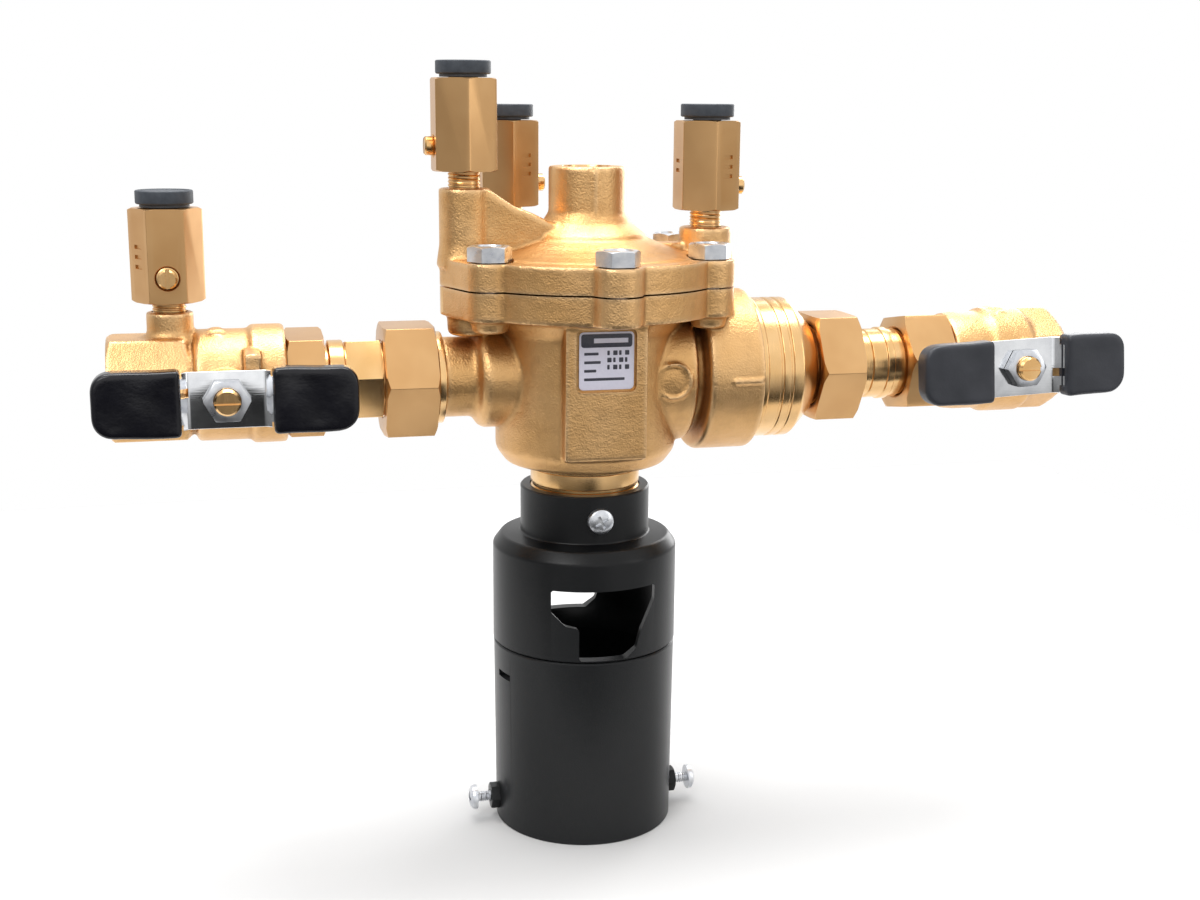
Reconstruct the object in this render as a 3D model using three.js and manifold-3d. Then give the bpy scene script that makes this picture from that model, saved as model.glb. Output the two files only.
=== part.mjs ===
// A reduced-pressure-zone backflow preventer for an irrigation line: a brass body with two check
// valves and a relief valve, a ball valve at each end, four test cocks and a funnel under the relief
// port. Millimetres, +Z up, +X with the flow. The origin is the centre of the inlet port's end face.

import * as THREE from 'three';
import { mergeVertices } from 'three/addons/utils/BufferGeometryUtils.js';
import Module from 'manifold-3d';

const wasm = await Module();
wasm.setup();

// ---------------------------------------------------------------- driving dimensions
const BODY_X = 175;            // from the inlet port's face to the body's upright axis
const GAP = 0.3;               // between pieces that touch

const BODY_R = 34.5;           // upright body
const BODY_BOTTOM = -34;
const NECK_R = 21;             // machined neck that the funnel hangs on
const NECK_BOTTOM = -58;
const CHAMBER_R = 28;
const SEAM_Z = 35;             // between the body flange and the cover
const FLANGE_R = 50;
const FLANGE_THICK = 10;
const BOLT_RING_R = 47.5;
const BOLT_LOBE_R = 9.3;
const BOLT_HOLE_R = 4.3;
const BOLT_DEPTH = 26;         // where the blind bolt holes end
const BOLT_AF = 14.2;
const BOLT_ANGLES = [-90, -30, 30, 90, 150, 210];
const PIPE_R = 11;             // waterway
const SPIGOT_R = 15.8;         // male thread under a union nut
const NUT_AF = 40;
const COCK_AF = 22.2;          // 7/8 inch hexagon bar
const COCK_HEIGHT = 33;
const COCK_STEM_R = 6;
const COCK_SCREW_UP = 9;       // screw axis above the hexagon's lower face
const COCK_SCREW_R = 3.8;
const BALL_R = 13.2;
const BALL_PORT_R = 9.5;
const VALVE_STEM_R = 4.6;
const VALVE_HEX_AF = 36;
const FUNNEL_R = 35.7;
const FUNNEL_FOOT_R = 34.8;
const FUNNEL_TOP = -43.3;
const FUNNEL_SEAM = -105;
const FUNNEL_FOOT = -179;
const DRAIN_R = 30.5;          // takes a 2 inch drain pipe
const CLAMP_Z = -170;
const CLAMP_HEAD_X = 43.5;         // where the clamp screws' heads start, with the screws backed off

// The four test cocks: place, lower face of the hexagon, boss radius and top, and the direction
// that the screw faces, in degrees about +Z from +X.
const TEST_COCKS = [
  { name: 'test_cock_1', x: -152.7, y: 0, hexZ: 30.7, bossTop: 26.7, bossR: 8.2, faces: -90 },
  { name: 'test_cock_2', x: -47, y: -5, hexZ: 76.3, bossTop: 70, bossR: 9.3, faces: 180 },
  { name: 'test_cock_3', x: -22.5, y: 38.9, hexZ: 61, bossTop: 54.5, bossR: 9.8, faces: 0 },
  { name: 'test_cock_4', x: 45.7, y: -3.2, hexZ: 61.7, bossTop: 55, bossR: 9.8, faces: 0 },
];

// The two ball valves. Lengths are counted from the stem: outward is away from the body.
const BALL_VALVES = [
  { name: 'inlet', stemX: -134.5, outward: -1, capJoint: 21.5, capEnd: 35.2, hexStart: 12.5, end: 40.5,
    hexCorner: 30, capCorner: 36, threadDepth: 14, stopZ: [4, 15], tilt: 0, turn: 0,
    barrelShape: [[-21.5, 21], [-9.5, 21], [-8.5, 19.7], [10.2, 19.7], [10.2, 17.5], [13.5, 17.5]],
    plateHalf: 10, gripHalf: 11.6, gripEnds: [44.7, 44.7] },
  { name: 'outlet', stemX: 167.3, outward: 1, capJoint: 20.5, capEnd: 40.1, hexStart: 12.7, end: 27.2,
    hexCorner: 0, capCorner: 23, threadDepth: 11, stopZ: [2, 9.5], tilt: -3, turn: -2.5,
    barrelShape: [[-20.5, 18.6], [-15, 19.2], [-4, 19.2], [-1, 20.6], [12, 20.6], [13.7, 18.5]],
    plateHalf: 11, gripHalf: 12, gripEnds: [44.3, 40] },
];

// ---------------------------------------------------------------- materials
const metal = (color, roughness) => new THREE.MeshStandardMaterial({ color, roughness, metalness: 1 });
const plastic = (color, roughness) => new THREE.MeshStandardMaterial({ color, roughness, metalness: 0 });
const CAST_BRASS = metal(0xc8a06c, 0.42);
const TURNED_BRASS = metal(0xd2a566, 0.25);
const ZINC = metal(0xb9bcc0, 0.35);
const STAINLESS = metal(0xc6c8ca, 0.25);
const BLACK_PLASTIC = plastic(0x1b1c1d, 0.5);
const BLACK_VINYL = plastic(0x141416, 0.22);
const GREY_VINYL = plastic(0x2d2e31, 0.35);
const CAP_RUBBER = plastic(0x454a52, 0.7);
const SEAL_RUBBER = plastic(0x26272a, 0.8);
const ACETAL = plastic(0xe6e4dc, 0.5);
const LABEL_FILM = plastic(0xc9c6d6, 0.5);

// ---------------------------------------------------------------- solids
const rad = THREE.MathUtils.degToRad;

// A closed geometry with shared corners and its faces pointing out.
function closed(geometry) {
  let g = geometry.clone();
  g.deleteAttribute('normal');
  g.deleteAttribute('uv');
  g = mergeVertices(g, 1e-4);
  const p = g.attributes.position;
  const index = Array.from(g.index.array);
  const kept = [];
  let volume = 0;
  const a = new THREE.Vector3();
  const b = new THREE.Vector3();
  const c = new THREE.Vector3();
  for (let i = 0; i < index.length; i += 3) {
    const [u, v, w] = index.slice(i, i + 3);
    if (u === v || v === w || w === u) continue;
    kept.push(u, v, w);
    a.fromBufferAttribute(p, u);
    b.fromBufferAttribute(p, v);
    c.fromBufferAttribute(p, w);
    volume += a.dot(b.cross(c));
  }
  if (volume < 0) kept.reverse();
  g.setIndex(kept);
  return g;
}

function toManifold(geometry) {
  const g = closed(geometry);
  return new wasm.Manifold(new wasm.Mesh({
    numProp: 3,
    vertProperties: Float32Array.from(g.attributes.position.array),
    triVerts: Uint32Array.from(g.index.array),
  }));
}

function toGeometry(manifold) {
  const mesh = manifold.getMesh();
  const g = new THREE.BufferGeometry();
  g.setAttribute('position', new THREE.BufferAttribute(Float32Array.from(mesh.vertProperties), 3));
  g.setIndex(Array.from(mesh.triVerts));
  return g;
}

const join = (...pieces) => toGeometry(pieces.map(toManifold).reduce((a, b) => a.add(b)));
const cut = (piece, ...tools) => toGeometry(
  tools.map(toManifold).reduce((a, b) => a.subtract(b), toManifold(piece)));
const common = (a, b) => toGeometry(toManifold(a).intersect(toManifold(b)));

// A turned solid about +Z from [radius, height] corners.
function turned(profile, sides = 20) {
  const points = [...profile, profile[0]].map(([r, z]) => new THREE.Vector2(r, z));
  return closed(new THREE.LatheGeometry(points, sides).rotateX(Math.PI / 2));
}

// The same about +X, from [x, radius] corners.
const turnedX = (profile, sides = 20) => turned(profile.map(([x, r]) => [r, x]), sides)
  .rotateY(Math.PI / 2);

const rod = (r, z0, z1, sides = 12) => turned([[0, z0], [r, z0], [r, z1], [0, z1]], sides);
const rodX = (r, x0, x1, sides = 16) => turnedX([[x0, 0], [x0, r], [x1, r], [x1, 0]], sides);
const rodY = (r, y0, y1, sides = 12) => rod(r, y0, y1, sides).rotateX(-Math.PI / 2);
const tube = (r0, r1, z0, z1, sides = 16) => turned([[r0, z0], [r1, z0], [r1, z1], [r0, z1]], sides);
const tubeX = (r0, r1, x0, x1, sides = 16) => turnedX([[x0, r0], [x0, r1], [x1, r1], [x1, r0]], sides);

function block(x0, x1, y0, y1, z0, z1) {
  return new THREE.BoxGeometry(x1 - x0, y1 - y0, z1 - z0)
    .translate((x0 + x1) / 2, (y0 + y1) / 2, (z0 + z1) / 2);
}

// An outline in [x, y] corners pulled up from z0 to z1.
function prism(outline, z0, z1) {
  const shape = new THREE.Shape(outline.map(([x, y]) => new THREE.Vector2(x, y)));
  const g = new THREE.ExtrudeGeometry(shape, { depth: z1 - z0, bevelEnabled: false });
  return g.translate(0, 0, z0);
}

// A hexagon across the given flats, its first corner at the given angle.
function hexagon(flats, firstCorner) {
  const corner = flats / Math.sqrt(3);
  const angles = [0, 1, 2, 3, 4, 5].map((k) => rad(firstCorner + 60 * k));
  return angles.map((t) => [corner * Math.cos(t), corner * Math.sin(t)]);
}

// A hexagon bar with both ends chamfered, upright or along +X with a corner or a flat on top.
function hexBar(flats, z0, z1, firstCorner, chamfer = 1.2) {
  const corner = flats / Math.sqrt(3);
  const r = corner - chamfer;
  const bar = prism(hexagon(flats, firstCorner), z0, z1);
  const ends = turned([[0, z0], [r, z0], [corner + 0.2, z0 + chamfer], [corner + 0.2, z1 - chamfer],
    [r, z1], [0, z1]], 12);
  return common(bar, ends);
}
const hexBarX = (flats, x0, x1, firstCorner = 0, chamfer = 1.2) => (
  hexBar(flats, x0, x1, firstCorner, chamfer).rotateY(Math.PI / 2));

// A coil spring about +Z.
function coil(radius, wire, z0, z1, turns) {
  class Helix extends THREE.Curve {
    getPoint(t) {
      const angle = 2 * Math.PI * turns * t;
      const z = z0 + wire + (z1 - z0 - 2 * wire) * t;
      return new THREE.Vector3(radius * Math.cos(angle), radius * Math.sin(angle), z);
    }
  }
  const corners = [[wire, 0], [0, wire], [-wire, 0], [0, -wire]];
  const section = new THREE.Shape(corners.map(([x, y]) => new THREE.Vector2(x, y)));
  const steps = Math.round(turns * 8);
  return new THREE.ExtrudeGeometry(section, { steps, bevelEnabled: false, extrudePath: new Helix() });
}

// ---------------------------------------------------------------- assembly
const part = new THREE.Group();
const assembly = new THREE.Group();
assembly.position.x = BODY_X;
part.add(assembly);

function add(name, geometry, material, parent = assembly) {
  const mesh = new THREE.Mesh(closed(geometry), material);
  mesh.name = name;
  parent.add(mesh);
  return mesh;
}

function ringPoint(angle, radius = BOLT_RING_R) {
  return [radius * Math.cos(rad(angle)), radius * Math.sin(rad(angle))];
}

// ---------------------------------------------------------------- body casting
const DIAPHRAGM_R = 40;
const RECESS_Z = 33;                 // floor of the recess that holds the diaphragm's rim
const BODY_TOP = SEAM_Z - 0.4;
const COVER_BOTTOM = SEAM_Z + 0.2;
const COVER_FLANGE_TOP = 45;
const COVER_COCKS = TEST_COCKS.slice(1);
const OUTLET_END = 62;
const OUTLET_SOCKET_R = 22.4;
const BRIDGE_Z = 17;                 // top of the bridge that guides the relief rod and seats its spring

function flange(z0, z1) {
  const lobes = BOLT_ANGLES.map((angle) => rod(BOLT_LOBE_R, z0, z1).translate(...ringPoint(angle), 0));
  const cockLobes = COVER_COCKS.map((cock) => rod(cock.bossR, z0, z1).translate(cock.x, cock.y, 0));
  const links = [[-150, COVER_COCKS[0]], [-30, COVER_COCKS[2]]].map(([angle, cock]) => {
    const [bx, by] = ringPoint(angle);
    const span = Math.hypot(cock.x - bx, cock.y - by);
    return block(0, span, -BOLT_LOBE_R, BOLT_LOBE_R, z0, z1)
      .rotateZ(Math.atan2(cock.y - by, cock.x - bx)).translate(bx, by, 0);
  });
  return join(rod(FLANGE_R, z0, z1, 36), ...lobes, ...cockLobes, ...links);
}

const boltHoles = (z0, z1) => BOLT_ANGLES.map(
  (angle) => rod(BOLT_HOLE_R, z0, z1, 8).translate(...ringPoint(angle), 0));

function bodyCasting() {
  const upright = turned([[0, NECK_BOTTOM], [NECK_R, NECK_BOTTOM], [NECK_R, BODY_BOTTOM - 0.5],
    [26, BODY_BOTTOM], [31.5, BODY_BOTTOM + 2], [BODY_R, BODY_BOTTOM + 6], [BODY_R, 17], [38, 22],
    [44, 24], [0, 24]], 28);
  const inlet = turnedX([[-68, 0], [-68, SPIGOT_R], [-58.5, SPIGOT_R], [-58.5, 17.2], [-56, 17.2],
    [-56, 15], [-43, 15], [-40, 19], [-20, 19], [-20, 0]]);
  const outlet = turnedX([[0, 0], [0, 27], [36.5, 27], [36.5, 24.6], [41, 24.6], [41, 29.5], [42.5, 31],
    [OUTLET_END, 31], [OUTLET_END, 0]], 24);
  const pad = block(-16, 14.6, -36, -20, -27, 21.6);
  const bosses = BOLT_ANGLES.slice(1).map(
    (angle) => rod(6.8, 20.5, BOLT_DEPTH, 10).translate(...ringPoint(angle), 0));
  const cockBoss = rod(8, 17, 26, 12).translate(COVER_COCKS[0].x + 1.5, COVER_COCKS[0].y, 0);
  const outside = join(upright, inlet, outlet, pad, flange(SEAM_Z - FLANGE_THICK - 1, BODY_TOP),
    cockBoss, ...bosses);

  const hollow = cut(outside,
    rod(CHAMBER_R, -29, 40, 16),
    rod(DIAPHRAGM_R + GAP, RECESS_Z, 40, 20),
    rod(15, NECK_BOTTOM - 1, -25, 20),
    rodX(PIPE_R, -70, -20),
    rodX(14.3, -40, -20, 20),
    rodX(14, 20, 50),
    rodX(18.3, 31, 50, 20),
    rodX(OUTLET_SOCKET_R, 44, OUTLET_END + 1, 20),
    block(-12.1, 10.4, -37, -35, -1.5, 21.4),
    ...boltHoles(BOLT_DEPTH, 36));
  const bridge = join(block(-6, 6, -29, 29, BRIDGE_Z - 3, BRIDGE_Z), rod(11.5, BRIDGE_Z - 3, BRIDGE_Z));
  return cut(join(hollow, bridge), rod(4, 10, 20, 16));
}
add('body_casting', bodyCasting(), CAST_BRASS);
add('label_plate', block(-10.9, 9.5, -35.75, -35.3, -0.6, 20.5), LABEL_FILM);

// ---------------------------------------------------------------- cover
const COVER_BOSS_TOP = 77.8;

function cover() {
  const dome = turned([[0, 44], [40, 44], [36, 46.8], [29, 48.8], [22.6, 51.6], [22, 52.9], [16.8, 57],
    [14.2, 60.8], [14.2, COVER_BOSS_TOP], [0, COVER_BOSS_TOP]], 24);
  const bosses = COVER_COCKS.map((cock) => rod(cock.bossR, 44, cock.bossTop).translate(cock.x, cock.y, 0));
  const web = prism([[-47, 45], [-47, 69], [-38, 69], [-34, 66.8], [-29.5, 64], [-22.5, 60.8], [-15, 57],
    [0, 56], [0, 45]], -5.5, 5.5)
    .rotateX(Math.PI / 2).translate(0, COVER_COCKS[0].y, 0);
  const ledge = block(14, 46, -6, 0, 44, 48.5);
  const outside = join(flange(COVER_BOTTOM, COVER_FLANGE_TOP), dome, web, ledge, ...bosses);
  const hollow = turned([[0, 30], [37, 30], [37, 41], [24, 46], [14, 50], [3.8, 52], [3.8, 66],
    [0, 66]], 20);
  const cockHoles = COVER_COCKS.map(
    (cock) => rod(COCK_STEM_R + GAP, cock.bossTop - 9, 80, 12).translate(cock.x, cock.y, 0));
  const mouth = rod(9, 70, 80);
  return cut(outside, hollow, mouth, ...cockHoles, ...boltHoles(30, 50));
}
add('cover', cover(), CAST_BRASS);

BOLT_ANGLES.forEach((angle, k) => {
  const head = hexBar(BOLT_AF, COVER_FLANGE_TOP + GAP, COVER_FLANGE_TOP + 5.8, angle + 30, 0.8);
  const bolt = join(head, rod(BOLT_HOLE_R - 0.6, BOLT_DEPTH + GAP, COVER_FLANGE_TOP + 1, 8));
  add(`cover_bolt_${k + 1}`, bolt, ZINC).position.set(...ringPoint(angle), 0);
});

// ---------------------------------------------------------------- relief valve
const RELIEF_TRAVEL = 5.7;
const RELIEF_LIP = -31;
const DISC_BOTTOM = RELIEF_LIP + RELIEF_TRAVEL + GAP;
const ROD_R = 3.5;
const PLATE_R = 20;
const PLATE_Z = 35.2;

add('relief_seat', turned([[9.5, -50], [14.7, -50], [14.7, -33.5], [11.5, -33], [11, RELIEF_LIP],
  [9.5, RELIEF_LIP]]), STAINLESS);
add('relief_disc', tube(ROD_R + GAP, 12.8, DISC_BOTTOM, DISC_BOTTOM + 3.5), SEAL_RUBBER);
add('relief_piston', turned([[0, DISC_BOTTOM - 0.4], [5.5, DISC_BOTTOM - 0.4],
  [5.5, DISC_BOTTOM - 0.3], [ROD_R, DISC_BOTTOM - 0.3], [ROD_R, DISC_BOTTOM + 3.8],
  [13.5, DISC_BOTTOM + 3.8], [13.5, DISC_BOTTOM + 6.5], [ROD_R, DISC_BOTTOM + 8],
  [ROD_R, PLATE_Z], [PLATE_R, PLATE_Z], [PLATE_R, PLATE_Z + 1.6], [ROD_R, PLATE_Z + 1.6],
  [ROD_R, PLATE_Z + 3.8], [PLATE_R, PLATE_Z + 3.8], [PLATE_R, PLATE_Z + 5.4],
  [ROD_R, PLATE_Z + 6.5], [ROD_R, 57], [0, 57]], 16), TURNED_BRASS);
add('relief_spring', coil(9.5, 1.1, BRIDGE_Z + GAP, PLATE_Z - GAP, 4.5), STAINLESS);
add('diaphragm', turned([[ROD_R + GAP, PLATE_Z + 1.9], [22, PLATE_Z + 1.9], [26, PLATE_Z + 3.2],
  [29.5, 34.2], [31, RECESS_Z + GAP], [DIAPHRAGM_R, RECESS_Z + GAP], [DIAPHRAGM_R, RECESS_Z + 1.9],
  [32, RECESS_Z + 1.9], [30.5, PLATE_Z + 1.5], [27, PLATE_Z + 5], [22, PLATE_Z + 3.5],
  [ROD_R + GAP, PLATE_Z + 3.5]], 20), SEAL_RUBBER);

// ---------------------------------------------------------------- check valves
// A spring-loaded poppet closes on a seat ring and slides in a three-armed guide.
function checkValve(name, check) {
  const { seat, seatR, portR, poppetR, guideX, guideR, coilR, stemEnd } = check;
  add(`${name}_check_seat`, turnedX([[seat, portR], [seat, seatR], [seat + 9.4, seatR],
    [seat + 9.4, portR + 1.5], [seat + 10.2, portR + 1], [seat + 10.2, portR]]), ACETAL);
  const face = seat + 10.5;
  add(`${name}_check_poppet`, turnedX([[face, 0], [face, poppetR], [face + 3, poppetR], [face + 3, 3.4],
    [face + 4, 2.8], [stemEnd, 2.8], [stemEnd, 0]], 16), ACETAL);
  const arms = [90, 210, 330].map(
    (angle) => block(guideX, guideX + 3, -1.5, 1.5, 4, guideR - 1).rotateX(rad(angle - 90)));
  const legs = [90, 210, 330].map(
    (angle) => block(seat + 10.5, guideX + 2, -2, 2, poppetR + 1.2, guideR - 0.4)
      .rotateX(rad(angle - 90)));
  add(`${name}_check_guide`, join(tubeX(poppetR + 1, guideR, seat + 9.7, seat + 12),
    tubeX(poppetR + 1, guideR, guideX, guideX + 3), tubeX(3.1, 5.5, guideX, guideX + 5), ...arms, ...legs),
  ACETAL);
  add(`${name}_check_spring`, coil(coilR, 0.8, face + 3 + GAP, guideX - GAP, 3.5).rotateY(Math.PI / 2),
    STAINLESS);
}
checkValve('inlet', { seat: -39.7, seatR: 14, portR: 8.5, poppetR: 11.5, guideX: -13, guideR: 13.5,
  coilR: 4.7, stemEnd: -10.8 });
checkValve('outlet', { seat: 31.5, seatR: 18, portR: 11, poppetR: 14, guideX: 60, guideR: 18,
  coilR: 4.9, stemEnd: 68 });

// ---------------------------------------------------------------- outlet housing and unions
const housing = turnedX([[44.5, 0], [44.5, OUTLET_SOCKET_R - GAP],
  [OUTLET_END + GAP, OUTLET_SOCKET_R - GAP], [OUTLET_END + GAP, 28.2], [63.5, 27], [79, 27],
  [88, 18.5], [88, SPIGOT_R], [97, SPIGOT_R], [97, 0]]);
add('outlet_housing', cut(housing, turnedX([[40, 0], [40, 18.3], [70, 18.3], [79, PIPE_R],
  [99, PIPE_R], [99, 0]])), TURNED_BRASS);

// A union nut draws the tailpiece's shoulder and a gasket against a spigot. face is the spigot's
// end, and away is the direction from the spigot to the tailpiece.
function unionNut(name, face, away, start) {
  const at = (d) => face + away * d;
  const nut = hexBarX(NUT_AF, Math.min(at(start), at(10)), Math.max(at(start), at(10)), 90, 1.6);
  const bore = turnedX([[at(start - 1), 0], [at(start - 1), SPIGOT_R + GAP], [at(6.3), SPIGOT_R + GAP],
    [at(6.3), 14], [at(11), 14], [at(11), 0]]);
  add(`${name}_union_nut`, cut(nut, bore), CAST_BRASS);
  add(`${name}_union_gasket`, tubeX(PIPE_R, SPIGOT_R - 0.3, Math.min(at(0.3), at(1.7)),
    Math.max(at(0.3), at(1.7))), SEAL_RUBBER);
}
unionNut('inlet', -68, -1, -9);
unionNut('outlet', 97, 1, -7.5);

add('inlet_tailpiece', cut(join(rodX(15.5, -74, -70), rodX(13.7, -98, -73), hexBarX(28, -91.5, -78.5, 20),
  rodX(15, -97.5, -91), rodX(13.1, -111, -97)), rodX(PIPE_R - 1, -115, -60)), TURNED_BRASS);
add('outlet_tailpiece', cut(join(rodX(15.5, 99, 103), rodX(13.7, 102, 126), rodX(13.1, 125, 138)),
  rodX(PIPE_R - 1, 90, 140)), TURNED_BRASS);

// ---------------------------------------------------------------- ball valves
const HANDLE_Y = -31;          // middle of the handle's plate
const GRIP_Y = -35.5;          // middle of the grips
const POCKET_SHORT = 2.7;      // vinyl left beyond the pocket at the grip's end
const ARM_SHORT = 3.7;         // and beyond the arm inside it
const GRIP_START = 15.2;
const ARM_START = 14.9;        // where the plate narrows to the arms inside the grips
const ARM_HALF = 8;
const THREAD_R = 13.4;

function gripOutline(side, h, end) {
  const shape = new THREE.Shape();
  const [a, b, r] = [GRIP_START, end, 4];
  shape.moveTo(a, -h + 2);
  shape.lineTo(a + 2, -h);
  shape.lineTo(b - r, -h);
  shape.absarc(b - r, -h + r, r, -Math.PI / 2, 0);
  shape.absarc(b - r, h - r, r, 0, Math.PI / 2);
  shape.lineTo(a + 2, h);
  shape.lineTo(a, h - 2);
  const g = new THREE.ExtrudeGeometry(shape, { depth: 5.4, bevelSize: 1.6, bevelThickness: 1.6,
    bevelOffset: -1.6, bevelSegments: 1, curveSegments: 4 });
  g.translate(0, 0, -2.7).rotateX(Math.PI / 2);
  return side > 0 ? g : g.rotateY(Math.PI);
}

function handlePlate(half, outward, gripEnds) {
  const t = 0.9;
  const [left, right] = gripEnds.map((end) => end - ARM_SHORT);
  const level = [[-left, GRIP_Y], [-18, GRIP_Y], [-13, HANDLE_Y], [13, HANDLE_Y], [18, GRIP_Y],
    [right, GRIP_Y]];
  const back = level.map(([x, y]) => [x, y + t]);
  const front = [...level].reverse().map(([x, y]) => [x, y - t]);
  const strip = prism([...back, ...front], -half, half);
  const slotX = outward * 15;
  const slotZ = outward * -2.8;
  const slot = block(slotX - 2.2, slotX + 2.2, -40, -20, slotZ - 1.6, slotZ + 1.6);
  const trims = [[ARM_HALF, 20], [-20, -ARM_HALF]].flatMap(
    ([z0, z1]) => [block(ARM_START, 45, -40, -20, z0, z1), block(-45, -ARM_START, -40, -20, z0, z1)]);
  return cut(strip, rodY(VALVE_STEM_R + GAP, -40, -20), slot, ...trims);
}

function ballValve(valve, gripMaterial) {
  const { name, stemX, outward, capJoint, capEnd, hexStart, end, hexCorner, capCorner, barrelShape,
    threadDepth, stopZ, tilt, turn, plateHalf, gripHalf, gripEnds } = valve;
  const at = (u) => outward * u;
  const span = (make, u0, u1) => make(Math.min(at(u0), at(u1)), Math.max(at(u0), at(u1)));
  const group = new THREE.Group();
  group.position.x = stemX;
  group.rotation.x = rad(tilt);
  assembly.add(group);
  const handle = new THREE.Group();
  handle.rotation.y = rad(turn);
  group.add(handle);

  const barrel = turnedX([[at(-capJoint), 0], ...barrelShape.map(([u, r]) => [at(u), r]),
    [at(hexStart + 1), 0]]);
  const hex = span((a, b) => hexBarX(VALVE_HEX_AF, a, b, hexCorner, 2), hexStart, end);
  const gland = rodY(8.5, -26.5, -12, 20);
  const stop = block(6.5, 12, -28.5, -10, ...stopZ);
  const solids = [barrel, hex, gland, stop];
  const cuts = [
    span((a, b) => rodX(14, a, b), -14.2, 14),
    span((a, b) => rodX(15.9, a, b), -capJoint - 1, -14.2),
    span((a, b) => rodX(BALL_PORT_R, a, b), 13, end + 1),
    span((a, b) => rodX(THREAD_R, a, b), end - threadDepth, end + 1),
    rodY(VALVE_STEM_R + GAP, -30, 0),
  ];
  const cock = TEST_COCKS[0];
  if (name === 'inlet') {
    solids.push(rod(cock.bossR, 10, cock.bossTop).translate(cock.x - stemX, 0, 0));
    cuts.push(rod(COCK_STEM_R + GAP, cock.bossTop - 8, 40, 16).translate(cock.x - stemX, 0, 0));
    cuts.push(rod(2.5, 5, 40, 12).translate(cock.x - stemX, 0, 0));
  }
  add(`${name}_valve_body`, cut(join(...solids), ...cuts), CAST_BRASS, group);

  const capHex = span((a, b) => hexBarX(VALVE_HEX_AF, a, b, capCorner, 1.6), -capEnd, -capJoint - GAP);
  const capThread = span((a, b) => rodX(15.6, a, b), -capJoint - 1, -14.8);
  add(`${name}_valve_end_cap`, cut(join(capHex, capThread),
    span((a, b) => rodX(BALL_PORT_R, a, b), -capEnd - 1, 0),
    span((a, b) => rodX(THREAD_R, a, b), -capEnd - 1, -capEnd + 13.2)), CAST_BRASS, group);

  const ball = cut(new THREE.SphereGeometry(BALL_R, 16, 10).rotateX(Math.PI / 2),
    rodX(BALL_PORT_R, -20, 20));
  const stem = cut(rodY(VALVE_STEM_R, -39, -BALL_PORT_R - 1.5), block(-5, 5, -40, -37.5, -0.7, 0.7));
  add(`${name}_ball_and_stem`, join(ball, stem), TURNED_BRASS, group);
  add(`${name}_handle_plate`, handlePlate(plateHalf, outward, gripEnds), ZINC, handle);
  const nut = hexBar(14, 0, 4, 0, 0.8).rotateX(Math.PI / 2).translate(0, HANDLE_Y - 0.9 - GAP, 0);
  add(`${name}_handle_nut`, cut(nut, rodY(VALVE_STEM_R + GAP, -42, -20)), ZINC, handle);
  for (const [k, side] of [-1, 1].entries()) {
    const inside = ARM_HALF + GAP;
    const reach = gripEnds[k] - POCKET_SHORT;
    const pocket = block(-reach, reach, GRIP_Y - 1.2, GRIP_Y + 1.2, -inside, inside);
    const slope = prism([[side * 18.5, GRIP_Y - 1.3], [side * 18.8, GRIP_Y + 1.3],
      [side * 12.7, HANDLE_Y + 1.3], [side * 12.7, HANDLE_Y - 1.3]], -inside, inside);
    const grip = cut(gripOutline(side, gripHalf, gripEnds[k]).translate(0, GRIP_Y, 0), pocket, slope);
    add(`${name}_handle_grip_${side < 0 ? 'left' : 'right'}`, grip, gripMaterial, handle);
  }
}

ballValve(BALL_VALVES[0], BLACK_VINYL);
ballValve(BALL_VALVES[1], GREY_VINYL);

// ---------------------------------------------------------------- test cocks
const CAP_R = 10;
const CAP_HEIGHT = 5;

function testCock(cock) {
  const { name, x, y, hexZ, bossTop, faces } = cock;
  const top = hexZ + COCK_HEIGHT;
  const screwZ = hexZ + COCK_SCREW_UP;
  const group = new THREE.Group();
  group.position.set(x, y, 0);
  group.rotation.z = rad(faces);
  assembly.add(group);

  const bar = join(hexBar(COCK_AF, hexZ, top, 30, 1), rod(COCK_STEM_R, bossTop - 7.5, hexZ + 1, 16));
  const body = cut(bar, rod(2.8, bossTop - 9, top + 1, 12), rod(5.6, top - 6, top + 1, 16),
    rodX(COCK_SCREW_R + GAP, 0, 12, 16).translate(0, 0, screwZ));
  add(`${name}_body`, body, CAST_BRASS, group);

  const screw = cut(join(rodX(COCK_SCREW_R, 0.3, 11.5, 16), rodX(3.4, 11, 14.5, 16)),
    block(13, 15, -0.6, 0.6, -4, 4));
  add(`${name}_screw`, screw.translate(0, 0, screwZ), TURNED_BRASS, group);

  const cap = turned([[0, top - 5], [5.3, top - 5], [5.3, top + GAP], [8.6, top + GAP], [8.6, top + 1.1],
    [CAP_R, top + 1.1], [CAP_R, top + CAP_HEIGHT + 0.4], [CAP_R - 0.8, top + CAP_HEIGHT + 1.1],
    [0, top + CAP_HEIGHT + 1.1]], 16);
  add(`${name}_cap`, cap, CAP_RUBBER, group);
}
TEST_COCKS.forEach(testCock);

// ---------------------------------------------------------------- air-gap funnel
const COLLAR_R = 24.95;
const SOCKET_TOP = -141;
const WINDOW = [[-19.8, -77], [20.5, -77], [20.3, -83], [14.3, -94], [12.3, -100.5], [8, -104],
  [-10, -104], [-10, -91.5], [-15, -90.5], [-19.8, -85.5]];
const COLLAR_SCREW_Z = -52.4;

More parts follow.
